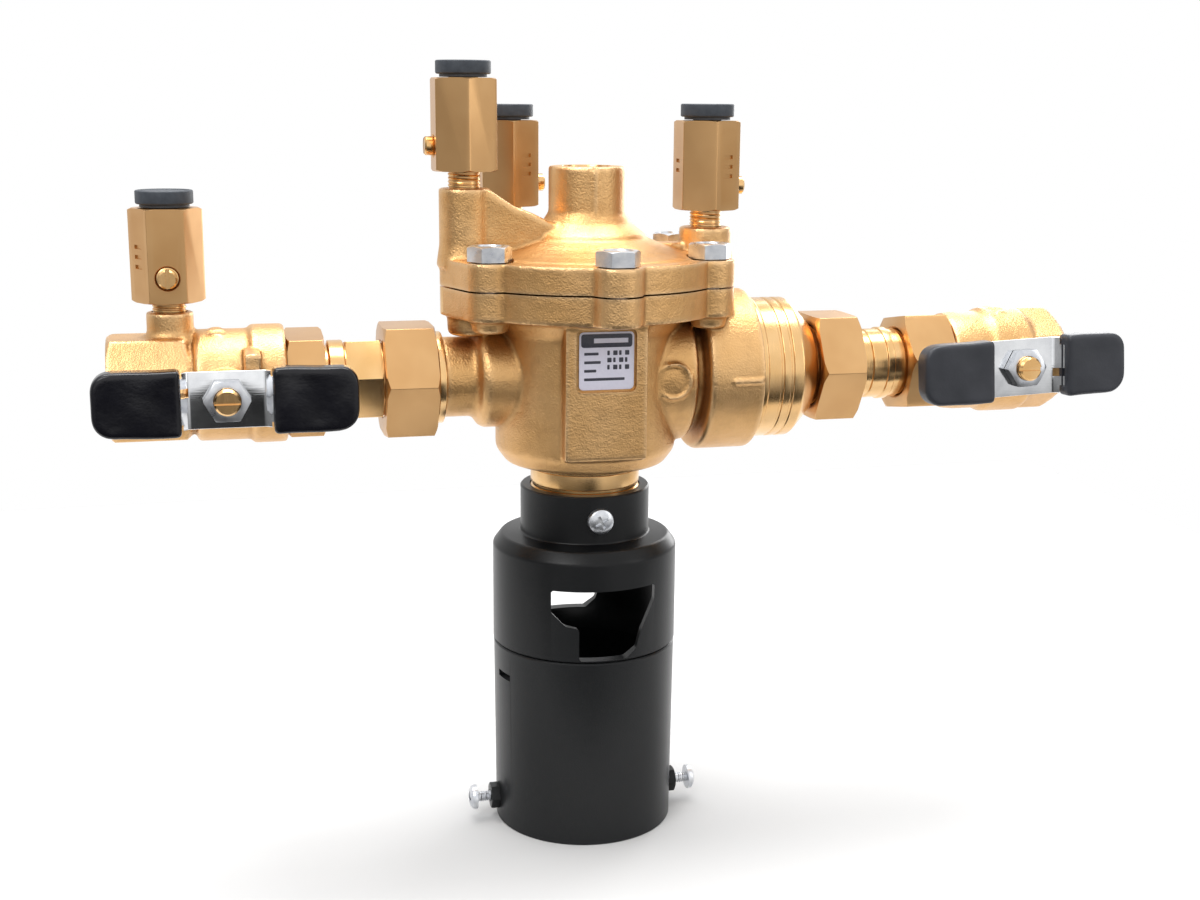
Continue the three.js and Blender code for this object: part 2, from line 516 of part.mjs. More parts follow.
function funnelUpper() {
  const shell = turned([[NECK_R + GAP, FUNNEL_TOP], [COLLAR_R, FUNNEL_TOP], [COLLAR_R, -61.5],
    [33.6, -62.5], [FUNNEL_R, -66], [FUNNEL_R, FUNNEL_SEAM + GAP], [32.8, FUNNEL_SEAM + GAP],
    [32.8, -113], [30.8, -113], [30.8, FUNNEL_SEAM], [33.2, -100], [33.2, -67], [31.5, -65],
    [NECK_R + GAP, -64]], 28);
  const front = prism(WINDOW, 0, 30).rotateX(Math.PI / 2).translate(0, -15, 0);
  const back = front.clone().translate(0, 60, 0);
  return cut(shell, front, back, rodY(2.8, -30, -10).translate(0, 0, COLLAR_SCREW_Z));
}
add('funnel_upper', funnelUpper(), BLACK_PLASTIC);

function funnelLower() {
  const shell = turned([[33.1, FUNNEL_SEAM], [35.5, FUNNEL_SEAM], [FUNNEL_FOOT_R, FUNNEL_FOOT],
    [DRAIN_R, FUNNEL_FOOT], [DRAIN_R, SOCKET_TOP], [28.5, SOCKET_TOP], [31.5, SOCKET_TOP + 6],
    [33.1, -116]], 28);
  const lugs = [-1, 1].map((side) => hexBarX(9, side < 0 ? -38 : 33, side < 0 ? -33 : 38, 0, 0.6)
    .translate(0, 0, CLAMP_Z));
  const holes = rodX(2.4, -45, 45, 12).translate(0, 0, CLAMP_Z);
  const slot = block(-40, -29, -14, -5, -117.5, -115);
  return cut(join(shell, ...lugs), holes, slot);
}
add('funnel_lower', funnelLower(), BLACK_PLASTIC);

function panScrew(shankR, headR, length) {
  const body = turned([[0, 0], [headR, 0], [headR, 1.2], [headR * 0.7, 2.9], [0, 2.9]], 12);
  const recess = [block(-2.6, 2.6, -0.5, 0.5, 1.4, 4), block(-0.5, 0.5, -2.6, 2.6, 1.4, 4)];
  return cut(join(body, rod(shankR, -length, 0.5, 12)), ...recess);
}
add('funnel_collar_screw', panScrew(2.5, 5, 3.4), ZINC).position.set(0, -COLLAR_R - GAP, COLLAR_SCREW_Z);
assembly.children.at(-1).rotation.x = Math.PI / 2;
for (const [k, side] of [-1, 1].entries()) {
  const screw = add(`drain_clamp_screw_${k + 1}`, panScrew(2.05, 4.8, 11.5), ZINC);
  screw.position.set(side * CLAMP_HEAD_X, 0, CLAMP_Z);
  screw.rotation.y = side * Math.PI / 2;
}

export default part;
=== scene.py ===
"""A brass reduced-pressure-zone backflow preventer for an irrigation line, seen from the front left.

Shapes are drawn in millimetres from the body's upright axis, at the height of the pipe, and each
finished piece is put in the row frame in metres. +X runs with the flow, +Y to the back, +Z up.
"""
import math

import bmesh
import bpy
import numpy as np
from mathutils import Matrix, Vector


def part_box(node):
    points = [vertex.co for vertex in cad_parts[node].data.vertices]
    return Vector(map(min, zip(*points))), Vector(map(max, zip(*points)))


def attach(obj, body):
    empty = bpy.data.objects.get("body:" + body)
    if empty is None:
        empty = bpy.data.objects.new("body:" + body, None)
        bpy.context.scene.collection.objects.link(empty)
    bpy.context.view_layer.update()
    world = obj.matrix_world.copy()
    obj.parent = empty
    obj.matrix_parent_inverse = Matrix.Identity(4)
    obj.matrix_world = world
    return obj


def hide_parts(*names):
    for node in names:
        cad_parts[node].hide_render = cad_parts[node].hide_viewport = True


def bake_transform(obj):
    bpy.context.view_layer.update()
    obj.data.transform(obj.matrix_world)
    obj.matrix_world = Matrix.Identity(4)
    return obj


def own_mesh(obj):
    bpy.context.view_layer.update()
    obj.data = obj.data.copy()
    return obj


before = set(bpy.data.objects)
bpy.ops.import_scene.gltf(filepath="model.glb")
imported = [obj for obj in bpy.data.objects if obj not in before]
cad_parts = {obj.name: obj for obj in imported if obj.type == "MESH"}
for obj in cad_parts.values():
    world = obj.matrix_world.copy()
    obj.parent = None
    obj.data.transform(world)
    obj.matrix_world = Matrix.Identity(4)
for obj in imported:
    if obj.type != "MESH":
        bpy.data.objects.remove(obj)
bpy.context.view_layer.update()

# --------------------------------------------------------------------------- where it all stands
# The body's upright axis is the funnel's, and the pipe's axis is the height of the row frame's origin.
funnel_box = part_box("funnel_upper")
AXIS_X = (funnel_box[0].x + funnel_box[1].x) / 2
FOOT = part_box("funnel_lower")[0].z
TO_ROW = Matrix.Translation((AXIS_X, 0, 0)) @ Matrix.Scale(0.001, 4)


# --------------------------------------------------------------------------- camera, light and floor
# A long lens at standing height, a little to the left of the body and looking slightly down.
def look_from(place, heading, pitch, roll, focal):
    heading, pitch, roll = (math.radians(a) for a in (heading, pitch, roll))
    forward = Vector((-math.sin(heading) * math.cos(pitch), math.cos(heading) * math.cos(pitch),
                      -math.sin(pitch)))
    level = forward.cross(Vector((0, 0, 1))).normalized()
    upright = level.cross(forward)
    right = level * math.cos(roll) + upright * math.sin(roll)
    up = upright * math.cos(roll) - level * math.sin(roll)
    camera = bpy.data.objects.new("camera", bpy.data.cameras.new("camera"))
    camera.data.lens = focal
    camera.data.clip_start = 0.01
    axes = Matrix((right, up, -forward)).transposed()
    camera.matrix_world = Matrix.Translation(place) @ axes.to_4x4()
    bpy.context.collection.objects.link(camera)
    bpy.context.scene.camera = camera


look_from(Vector((AXIS_X - 0.1434, -0.5911, 0.1017)), heading=-14.19, pitch=12.26, roll=0.48, focal=48.25)


def soft_box(name, place, target, size, watts):
    light = bpy.data.objects.new(name, bpy.data.lights.new(name, "AREA"))
    light.data.shape = "RECTANGLE"
    light.data.size, light.data.size_y = size
    light.data.energy = watts
    light.location = place
    light.rotation_euler = (Vector(target) - Vector(place)).to_track_quat("-Z", "Y").to_euler()
    bpy.context.collection.objects.link(light)


MIDDLE = (AXIS_X, 0, -0.02)
soft_box("key", (-0.55, -0.75, 0.85), MIDDLE, (0.7, 0.7), 6.5)
soft_box("fill", (1.15, -0.7, 0.35), MIDDLE, (0.35, 0.9), 1.6)
soft_box("top", (AXIS_X, 0.15, 1.0), MIDDLE, (1.1, 0.5), 15)
soft_box("rim", (0.9, 0.8, 0.3), MIDDLE, (0.4, 0.9), 4)


class Channel:
    """A value on its way through a node tree. Arithmetic on it adds Math nodes."""

    def __init__(self, tree, socket=None):
        self.tree = tree
        self.socket = socket

    def node(self, kind, settings=None, inputs=None, output=0):
        """Adds a node, applies its settings, fills its sockets, and gives one of its outputs."""
        made = self.tree.nodes.new(kind)
        for key, value in (settings or {}).items():
            if key == "stops":
                ramp = made.color_ramp
                while len(ramp.elements) < len(value):
                    ramp.elements.new(0.5)
                for element, (position, colour) in zip(ramp.elements, value):
                    element.position = position
                    element.color = (*colour, 1)
            else:
                setattr(made, key, value)
        for key, value in (inputs or {}).items():
            if isinstance(value, Channel):
                self.tree.links.new(value.socket, made.inputs[key])
            else:
                made.inputs[key].default_value = value
        return Channel(self.tree, made.outputs[output])

    def maths(self, operation, first, second):
        return self.node("ShaderNodeMath", {"operation": operation}, {0: first, 1: second})

    def __add__(self, other):
        return self.maths("ADD", self, other)

    def __radd__(self, other):
        return self.maths("ADD", other, self)

    def __sub__(self, other):
        return self.maths("SUBTRACT", self, other)

    def __mul__(self, other):
        return self.maths("MULTIPLY", self, other)

    def __rmul__(self, other):
        return self.maths("MULTIPLY", other, self)

    def noise(self, where, scale, detail=2.0, roughness=0.5):
        return self.node("ShaderNodeTexNoise", None,
                         {"Vector": where, "Scale": scale, "Detail": detail, "Roughness": roughness})

    def blend(self, amount, first, second):
        """A colour between two colours, each of them three numbers or a channel."""
        first, second = (tone if isinstance(tone, Channel) else (*tone, 1) for tone in (first, second))
        return self.node("ShaderNodeMix", {"data_type": "RGBA"}, {0: amount, 6: first, 7: second}, 2)

    def bump(self, strength, distance, under=None):
        """A normal that this value raises, over another normal if there is one."""
        inputs = {"Strength": strength, "Distance": distance, "Height": self}
        if under is not None:
            inputs["Normal"] = under
        return self.node("ShaderNodeBump", None, inputs)

    def stretched(self, scale):
        """These coordinates at another scale along each axis."""
        return self.node("ShaderNodeMapping", None, {"Vector": self, "Scale": scale})

    def standing_out(self):
        """How far the surface stands out from its surroundings, as mark_edges() stored it."""
        return self.node("ShaderNodeAttribute", {"attribute_name": "edge"}, output=2)

    def clamp(self, low, high, new_low=0.0, new_high=1.0):
        """The value from low to high, spread over a new range and kept in it."""
        return self.node("ShaderNodeMapRange", None,
                         {0: self, 1: low, 2: high, 3: new_low, 4: new_high})


def studio_world():
    """A pale studio, white where it is seen. Panels stand in front of the part above the horizon, and
    a dark ground with one bright side lies below it, so that each flat of bright metal shows one tone."""
    world = bpy.data.worlds.new("studio")
    world.use_nodes = True
    tree = world.node_tree
    start = Channel(tree)
    grey = lambda level: (level, level, level)
    direction = start.node("ShaderNodeTexCoord", output=0)
    across, depth, height = (start.node("ShaderNodeSeparateXYZ", None, {0: direction}, k) for k in range(3))
    turn = across.clamp(-1, 1)
    above = [(0.0, 0.40), (0.11, 0.42), (0.17, 0.90), (0.35, 1.15), (0.5, 1.3), (0.75, 1.05), (1.0, 0.6)]
    below = [(0.0, 0.30), (0.20, 0.30), (0.40, 0.12), (0.47, 0.015), (0.53, 0.04), (0.60, 0.30),
             (0.72, 0.85), (1.0, 0.50)]
    high, low = (start.node("ShaderNodeValToRGB", {"stops": [(place, grey(level)) for place, level in row]},
                            {0: turn}) for row in (above, below))
    front = start.blend(height.clamp(-0.13, -0.07), low, high)
    front = start.blend(height.clamp(-0.6, -0.2, 1.0, 0.0), front, grey(0.05))
    glow = start.blend(depth.clamp(-0.05, 0.25), front, grey(0.95))
    glow = start.blend(height.clamp(0.25, 0.7), glow, grey(1.15))
    seen = start.node("ShaderNodeLightPath", output=0)
    colour = start.blend(seen, glow, grey(1.0))
    tree.links.new(colour.socket, tree.nodes["Background"].inputs[0])
    bpy.context.scene.world = world


studio_world()
bpy.context.scene.view_settings.view_transform = "Standard"


def finish_shader(name, make):
    """A material whose Principled shader takes what make() gives: values for its sockets."""
    material = bpy.data.materials.new(name)
    material.use_nodes = True
    tree = material.node_tree
    shader = tree.nodes["Principled BSDF"]
    start = Channel(tree)
    where = start.node("ShaderNodeTexCoord", output=3)
    for socket, value in make(start, where).items():
        if isinstance(value, Channel):
            tree.links.new(value.socket, shader.inputs[socket])
        else:
            shader.inputs[socket].default_value = value
    return material


def mottled(scale, detail, tones, rough, spread=None, rise=None, others=None):
    """What finish_shader() needs for a plain material whose colour wanders between two tones. rough is
    the least roughness and what the clouds add to it; rise is the strength and distance of their bump."""
    def make(start, where):
        cloud = start.noise(where, scale, detail)
        tone = start.blend(cloud.clamp(*spread) if spread else cloud, *tones)
        least, more = rough
        values = {"Base Color": tone, "Roughness": least + more * cloud if more else least}
        if rise:
            values["Normal"] = cloud.bump(*rise)
        return {**values, **(others or {})}
    return make


# The floor starts just in front of the part, so that bright metal mirrors the dark ground of the world.
floor_mesh = bpy.data.meshes.new("floor")
left, right, front, back = AXIS_X - 0.5, AXIS_X + 0.5, -0.14, 0.55
floor_mesh.from_pydata([(left, front, FOOT), (right, front, FOOT), (right, back, FOOT), (left, back, FOOT)],
                       [], [(0, 1, 2, 3)])
floor = bpy.data.objects.new("floor", floor_mesh)
floor_mesh.materials.append(finish_shader("pale_floor",
                                          mottled(3.0, 2.0, ((0.56,) * 3, (0.59,) * 3), (0.8, 0))))
bpy.context.collection.objects.link(floor)


# --------------------------------------------------------------------------- body casting
# The body is forged brass, bead-blasted all over, then bored and faced where other pieces fit.
# Its parts are drawn apart, melted together so that their joins are fillets, and cut sharp after.
def rounded(corners, steps=4):
    """An outline whose corners that give a third number, a radius, are turned into arcs."""
    outline = []
    for i, corner in enumerate(corners):
        here = Vector(corner[:2])
        if len(corner) < 3:
            outline.append(here)
            continue
        before = Vector(corners[i - 1][:2]) - here
        after = Vector(corners[(i + 1) % len(corners)][:2]) - here
        half_turn = before.angle(after) / 2
        reach = min(corner[2] / math.tan(half_turn), 0.48 * before.length, 0.48 * after.length)
        radius = reach * math.tan(half_turn)
        inward = (before.normalized() + after.normalized()).normalized()
        centre = here + inward * (radius / math.sin(half_turn))
        first = here + before.normalized() * reach - centre
        last = here + after.normalized() * reach - centre
        sweep = first.angle_signed(last)
        for k in range(steps + 1):
            turn = Matrix.Rotation(-sweep * k / steps, 2)
            outline.append(centre + turn @ first)
    return outline


def new_piece(bm, weld=True):
    """A shape as an object, with its doubles merged and its faces outward if it is to be welded."""
    if weld:
        bmesh.ops.remove_doubles(bm, verts=bm.verts, dist=1e-4)
        bmesh.ops.recalc_face_normals(bm, faces=bm.faces)
    mesh = bpy.data.meshes.new("piece")
    bm.to_mesh(mesh)
    bm.free()
    piece = bpy.data.objects.new("piece", mesh)
    bpy.context.collection.objects.link(piece)
    return piece


def moved(piece, matrix):
    piece.data.transform(matrix)
    if matrix.determinant() < 0:
        piece.data.flip_normals()
    return piece


def shift(piece, x=0.0, y=0.0, z=0.0):
    return moved(piece, Matrix.Translation((x, y, z)))


def spin(piece, degrees, axis="Z"):
    return moved(piece, Matrix.Rotation(math.radians(degrees), 4, axis))


def lathe(corners, steps=72):
    """A turned solid about +Z. Corners are (radius, height) or (radius, height, fillet)."""
    outline = rounded(corners)
    bm = bmesh.new()
    rows = []
    for k in range(steps):
        angle = 2 * math.pi * k / steps
        rows.append([bm.verts.new((p.x * math.cos(angle), p.x * math.sin(angle), p.y)) for p in outline])
    for k in range(steps):
        row, following = rows[k], rows[(k + 1) % steps]
        for i in range(len(outline)):
            j = (i + 1) % len(outline)
            if outline[i].x > 1e-6 or outline[j].x > 1e-6:
                bm.faces.new((row[i], following[i], following[j], row[j]))
    return new_piece(bm)


ALONG_X = Matrix.Rotation(math.radians(90), 4, "Y")      # turns +Z to +X
ALONG_FRONT = Matrix.Rotation(math.radians(90), 4, "X")  # turns +Z to -Y


def lathe_x(corners, steps=72):
    """A turned solid about +X. Corners are (x, radius) or (x, radius, fillet)."""
    return moved(lathe([(c[1], c[0], *c[2:]) for c in corners], steps), ALONG_X)


def rod(radius, low, high, steps=48):
    return lathe([(0, low), (radius, low), (radius, high), (0, high)], steps)


def rod_x(radius, low, high, steps=48):
    return moved(rod(radius, low, high, steps), ALONG_X)


def plate(outline, low, high, soft=0.0, segments=3):
    """An outline in (x, y) pulled up from low to high, with its rims rounded off."""
    bm = bmesh.new()
    bottom = [bm.verts.new((p[0], p[1], low)) for p in outline]
    face = bm.faces.new(bottom)
    pulled = bmesh.ops.extrude_face_region(bm, geom=[face])
    top = [v for v in pulled["geom"] if isinstance(v, bmesh.types.BMVert)]
    bmesh.ops.translate(bm, verts=top, vec=(0, 0, high - low))
    if soft:
        rims = [e for e in bm.edges if abs(e.verts[0].co.z - e.verts[1].co.z) < 1e-6]
        bmesh.ops.bevel(bm, geom=rims, offset=soft, segments=segments, profile=0.5, affect="EDGES",
                        clamp_overlap=True)
    return new_piece(bm)


def block(x, y, z, soft=0.0):
    return plate([(x[0], y[0]), (x[1], y[0]), (x[1], y[1]), (x[0], y[1])], z[0], z[1], soft)


def settle(piece):
    """Applies the piece's modifiers."""
    bpy.context.view_layer.update()
    shaped = piece.evaluated_get(bpy.context.evaluated_depsgraph_get())
    mesh = bpy.data.meshes.new_from_object(shaped)
    piece.modifiers.clear()
    old = piece.data
    piece.data = mesh
    bpy.data.meshes.remove(old)
    return piece


def combine(piece, tools, operation):
    for tool in tools:
        step = piece.modifiers.new("tool", "BOOLEAN")
        step.operation = operation
        step.solver = "MANIFOLD"
        step.object = tool
    settle(piece)
    for tool in tools:
        bpy.data.objects.remove(tool)
    return piece


def cut(piece, *tools):
    return combine(piece, tools, "DIFFERENCE")


def join(piece, *tools):
    return combine(piece, tools, "UNION")


def keep(piece, *tools):
    return combine(piece, tools, "INTERSECT")


def melt(pieces, grain=0.72, passes=4):
    """Pieces run together into one skin, with fillets where they meet."""
    bm = bmesh.new()
    for piece in pieces:
        bm.from_mesh(piece.data)
        bpy.data.objects.remove(piece)
    whole = new_piece(bm, weld=False)
    skin = whole.modifiers.new("skin", "REMESH")
    skin.mode = "VOXEL"
    skin.voxel_size = grain
    soften = whole.modifiers.new("soften", "SMOOTH")
    soften.factor = 0.5
    soften.iterations = passes
    return settle(whole)


def mark_edges(piece):
    """Stores how far each point stands out from its neighbours, for worn edges with a painted highlight and
    for painted shade in corners.
    """
    mesh = piece.data
    count = len(mesh.vertices)
    place = np.zeros(count * 3)
    normal = np.zeros(count * 3)
    mesh.vertices.foreach_get("co", place)
    mesh.vertices.foreach_get("normal", normal)
    place, normal = place.reshape(-1, 3), normal.reshape(-1, 3)
    ends = np.zeros(len(mesh.edges) * 2, int)
    mesh.edges.foreach_get("vertices", ends)
    a, b = ends.reshape(-1, 2).T
    along = place[b] - place[a]
    span = np.linalg.norm(along, axis=1) + 1e-9
    bend = ((normal[b] - normal[a]) * along).sum(1) / span
    total, times = np.zeros(count), np.zeros(count) + 1e-9
    for end in (a, b):
        np.add.at(total, end, bend)
        np.add.at(times, end, 1)
    wear_and_highlight = total / times
    for _ in range(3):
        spread = np.zeros(count)
        np.add.at(spread, a, wear_and_highlight[b])
        np.add.at(spread, b, wear_and_highlight[a])
        wear_and_highlight = 0.4 * wear_and_highlight + 0.6 * spread / times
    stored = mesh.attributes.new("edge", "FLOAT", "POINT")
    stored.data.foreach_set("value", wear_and_highlight.astype(np.float32))


def complete(piece, name, body, slot, nodes, finishes, crease=32.0, choose=None):
    """Names a piece, gives it its finishes and its body, and puts it in its place in the row frame."""
    piece.name = name
    piece.data.name = name
    mark_edges(piece)
    mesh = piece.data
    mesh.materials.clear()
    for finish in finishes:
        mesh.materials.append(finish)
    bm = bmesh.new()
    bm.from_mesh(mesh)
    limit = math.radians(crease)
    for edge in bm.edges:
        edge.smooth = edge.calc_face_angle(0) < limit
    for face in bm.faces:
        face.smooth = True
        face.material_index = choose(face.calc_center_median()) if choose else 0
    bm.to_mesh(mesh)
    bm.free()
    mesh.transform(TO_ROW)
    if body:
        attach(piece, body)
    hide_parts(*nodes)


def forged_brass(start, where):
    broad = start.noise(where, 38.0, 3.0)
    blotch = start.noise(where, 210.0, 3.0, 0.6)
    speck = start.noise(where, 1500.0, 2.0, 0.6)
    edge = start.standing_out()
    # Convex edges are lightened and smoothed: partly rubbed brass, partly a painted highlight.
    wear_and_highlight = edge.clamp(0.02, 0.22)
    # Hollows and creases are darkened and roughened here: painted shade.
    painted_crease_shade = edge.clamp(-0.20, -0.02, 1.0, 0.0)
    tone = start.blend(broad.clamp(0.35, 0.65), (0.63, 0.365, 0.145), (0.71, 0.435, 0.195))
    tone = start.blend(blotch.clamp(0.45, 0.75, 0.0, 0.30), tone, (0.42, 0.235, 0.095))
    tone = start.blend(wear_and_highlight * 0.55, tone, (0.76, 0.52, 0.29))
    tone = start.blend(painted_crease_shade * 0.65, tone, (0.20, 0.095, 0.032))
    rough = 0.34 + 0.10 * speck + 0.10 * painted_crease_shade - 0.08 * wear_and_highlight
    grain = speck.bump(0.38, 0.0005)
    lumps = blotch.bump(0.18, 0.0014, grain)
    return {"Base Color": tone, "Metallic": 1.0, "Roughness": rough, "Normal": lumps}


def turned_brass(start, where):
    broad = start.noise(where, 55.0, 2.0)
    stretched = where.stretched((1.0, 0.06, 0.06))
    lines = start.noise(stretched, 4200.0, 1.0)
    tone = start.blend(broad.clamp(0.35, 0.65), (0.70, 0.42, 0.17), (0.80, 0.52, 0.25))
    rough = 0.17 + 0.10 * lines
    tool = lines.bump(0.10, 0.0002)
    return {"Base Color": tone, "Metallic": 1.0, "Roughness": rough, "Normal": tool}


FORGED = finish_shader("forged_brass", forged_brass)
TURNED = finish_shader("turned_brass", turned_brass)

SEAM = 35.0          # between the body's flange and the cover
BOLT_SEAT = 44.95    # the spot faces under the bolts' heads
BOLT_RING = 47.5
BOLT_HOLE_R = 4.3
LOBE_R = 9.3         # the flange's lobe round each bolt
COCK_SOCKET_R = 6.3  # the tapped hole under each test cock
BOLT_ANGLES = [-90 + 60 * k for k in range(6)]
COVER_COCKS = {2: (-47.0, -5.0, 9.3, 70.0), 3: (-22.5, 38.9, 9.8, 54.5), 4: (45.7, -3.2, 9.8, 55.0)}


def around(angle):
    """The place on the bolts' ring at this angle."""
    return Vector((BOLT_RING * math.cos(math.radians(angle)), BOLT_RING * math.sin(math.radians(angle)), 0))


def flange(low, high):
    """The scalloped rim that both castings share: a disc with a lobe at each bolt and test cock."""
    discs = [rod(50.0, low, high, 96)]
    discs += [shift(rod(LOBE_R, low, high), *around(a)) for a in BOLT_ANGLES]
    discs += [shift(rod(r, low, high), x, y) for x, y, r, _ in COVER_COCKS.values()]
    for angle, cock in ((-150, 2), (-30, 4)):
        bolt = around(angle)
        way = Vector((*COVER_COCKS[cock][:2], 0)) - bolt
        link = spin(block((0, way.length), (-LOBE_R, LOBE_R), (low, high)),
                    math.degrees(math.atan2(way.y, way.x)))
        discs.append(shift(link, *bolt))
    return discs


def bolt_holes(low, high):
    return [shift(rod(BOLT_HOLE_R, low, high, 24), *around(a)) for a in BOLT_ANGLES]


def body_casting():
    upright = lathe([(0, -38), (20, -38), (22, -34, 2), (30.5, -33.5, 3), (34.5, -28, 5), (34.5, 17, 4),
                     (38.5, 22.5, 3), (46, 25), (46, 33), (0, 33)])
    inlet = lathe_x([(-56, 0), (-56, 15), (-44.5, 15, 2.5), (-42.5, 18.2), (-40.5, 19.4, 0.8), (-20, 19.4),
                     (-20, 0)])
    outlet = lathe_x([(0, 0), (0, 27), (37.5, 27, 1.5), (37.5, 22), (40.8, 22), (40.8, 31, 1.8),
                      (62.6, 31, 1.2), (62.6, 0)])
    pad = block((-16, 14.7), (-36.2, -20), (-27.5, 24), 1.5)
    lumps = [shift(lathe([(0, 19.5), (6.4, 19.5, 2), (7.4, 28), (0, 28)], 32), *around(a))
             for a in BOLT_ANGLES[1:]]
    lumps.append(shift(lathe([(0, 16.5), (8, 16.5, 2), (8.6, 28), (0, 28)], 32), -45.5, -5))
    mark = moved(lathe([(6.0, 0), (6.0, 1.1), (7.0, 1.1), (7.0, 0)], 48), ALONG_FRONT)
    shift(spin(mark, -4), 27.5, -26.4)
    rib = block((50, 61), (-32.0, -28), (-1.2, 0.8), 0.6)
    skin = melt([upright, inlet, outlet, pad, mark, rib, *lumps, *flange(24.0, 36.5)])
    cut(skin, rod(80, SEAM - 0.4, 60, 12), rod_x(40, 62.0, 80, 12))
    neck = lathe([(0, -58), (21, -58, 0.6), (21, -43.6), (20.3, -43.2), (20.3, -42.2), (21, -41.8, 0.3),
                  (21, -36.5, 0.4), (20.0, -35.5), (20.0, -20), (0, -20)], 96)
    spigot = lathe_x([(-68, 0), (-68, 15.1), (-67.3, 15.8), (-59.6, 15.8, 0.3), (-59.6, 14.8), (-58.5, 14.8),
                      (-58.5, 17.2, 0.4), (-55.8, 17.2, 0.4), (-55.8, 13), (-40, 13), (-40, 0)], 96)
    join(skin, neck, spigot)
    cut(skin, rod(28, -29, 40, 72), rod(40.3, 33, 40, 96), rod(15, -60, -25),
        rod_x(11, -70, -20), rod_x(14.3, -40, -20), rod_x(14, 20, 50), rod_x(18.3, 31, 50),
        rod_x(22.4, 44, 63, 72), *bolt_holes(26, 36))
    recess = rounded([(-12.1, -1.5, 2.2), (10.4, -1.5, 2.2), (10.4, 21.4, 2.2), (-12.1, 21.4, 2.2)])
    cut(skin, moved(plate(recess, 35, 38), ALONG_FRONT))
    web = join(block((-6, 6), (-29.5, 29.5), (14, 17), 0.3), rod(11.5, 14, 17))
    join(skin, cut(web, rod(4, 10, 20, 24)))
    return skin


def machined_body(place):
    neck = place.z < -35.6 and math.hypot(place.x, place.y) < 22
    return int(neck or place.x > 61.9 or place.x < -55.7 or place.z > SEAM - 0.45)


complete(body_casting(), "body_forging", "body", "cast_brass", ["body_casting"], [FORGED, TURNED],
         choose=machined_body)


# --------------------------------------------------------------------------- label
# A printed film on the pad, in its shallow recess: a dark band over plain blocks and rules.
FILM = finish_shader("label_film", mottled(900.0, 2.0, ((0.60, 0.59, 0.70), (0.70, 0.69, 0.79)), (0.38, 0),
                                           others={"Coat Weight": 0.3}))
INK = finish_shader("label_ink",
                    mottled(1300.0, 2.0, ((0.020, 0.022, 0.035), (0.055, 0.055, 0.075)), (0.40, 0)))
FILM_FACE, PRINT_FACE, PRINT_BACK = -35.55, -35.62, -35.5  # how far forward each of them stands
label_box = [(-10.9, 9.5), (-0.6, 20.5)]


def rounded_panel(x, z, front, back, corner, soft):
    outline = rounded([(x[0], z[0], corner), (x[1], z[0], corner), (x[1], z[1], corner),
                       (x[0], z[1], corner)])
    panel = plate(outline, -back, -front, soft)
    return moved(panel, ALONG_FRONT)


complete(rounded_panel(*label_box, FILM_FACE, -35.3, 1.6, 0.05), "label", "body", "label_film",
         ["label_plate"], [FILM])
(x0, x1), (z0, z1) = label_box
band = rounded_panel((x0 + 0.7, x1 - 0.7), (z1 - 5.6, z1 - 0.7), PRINT_FACE - 0.02, PRINT_BACK, 1.0, 0.02)
prints = [cut(band, block((x0 + 5.4, x1 - 2.2), (-36, -35), (z1 - 4.0, z1 - 2.3)))]
for k, (left, width) in enumerate([(0.09, 0.26), (0.09, 0.30), (0.09, 0.22), (0.09, 0.74)]):
    top = z1 - 7.4 - 3.1 * k
    span = (x0 + left * (x1 - x0), x0 + (left + width) * (x1 - x0))
    prints.append(rounded_panel(span, (top - 1.0, top), PRINT_FACE, PRINT_BACK, 0.2, 0.02))
for row in range(3):
    for column in range(4):
        left = x0 + 10.4 + 2.2 * column
        top = z1 - 6.8 - 2.6 * row
        width = 0.9 + 0.7 * ((row + column) % 2)
        span = (left, left + width)
        prints.append(rounded_panel(span, (top - 1.7, top), PRINT_FACE, PRINT_BACK, 0.2, 0.02))
complete(join(prints[0], *prints[1:]), "label_print", "body", "label_film", [], [INK])


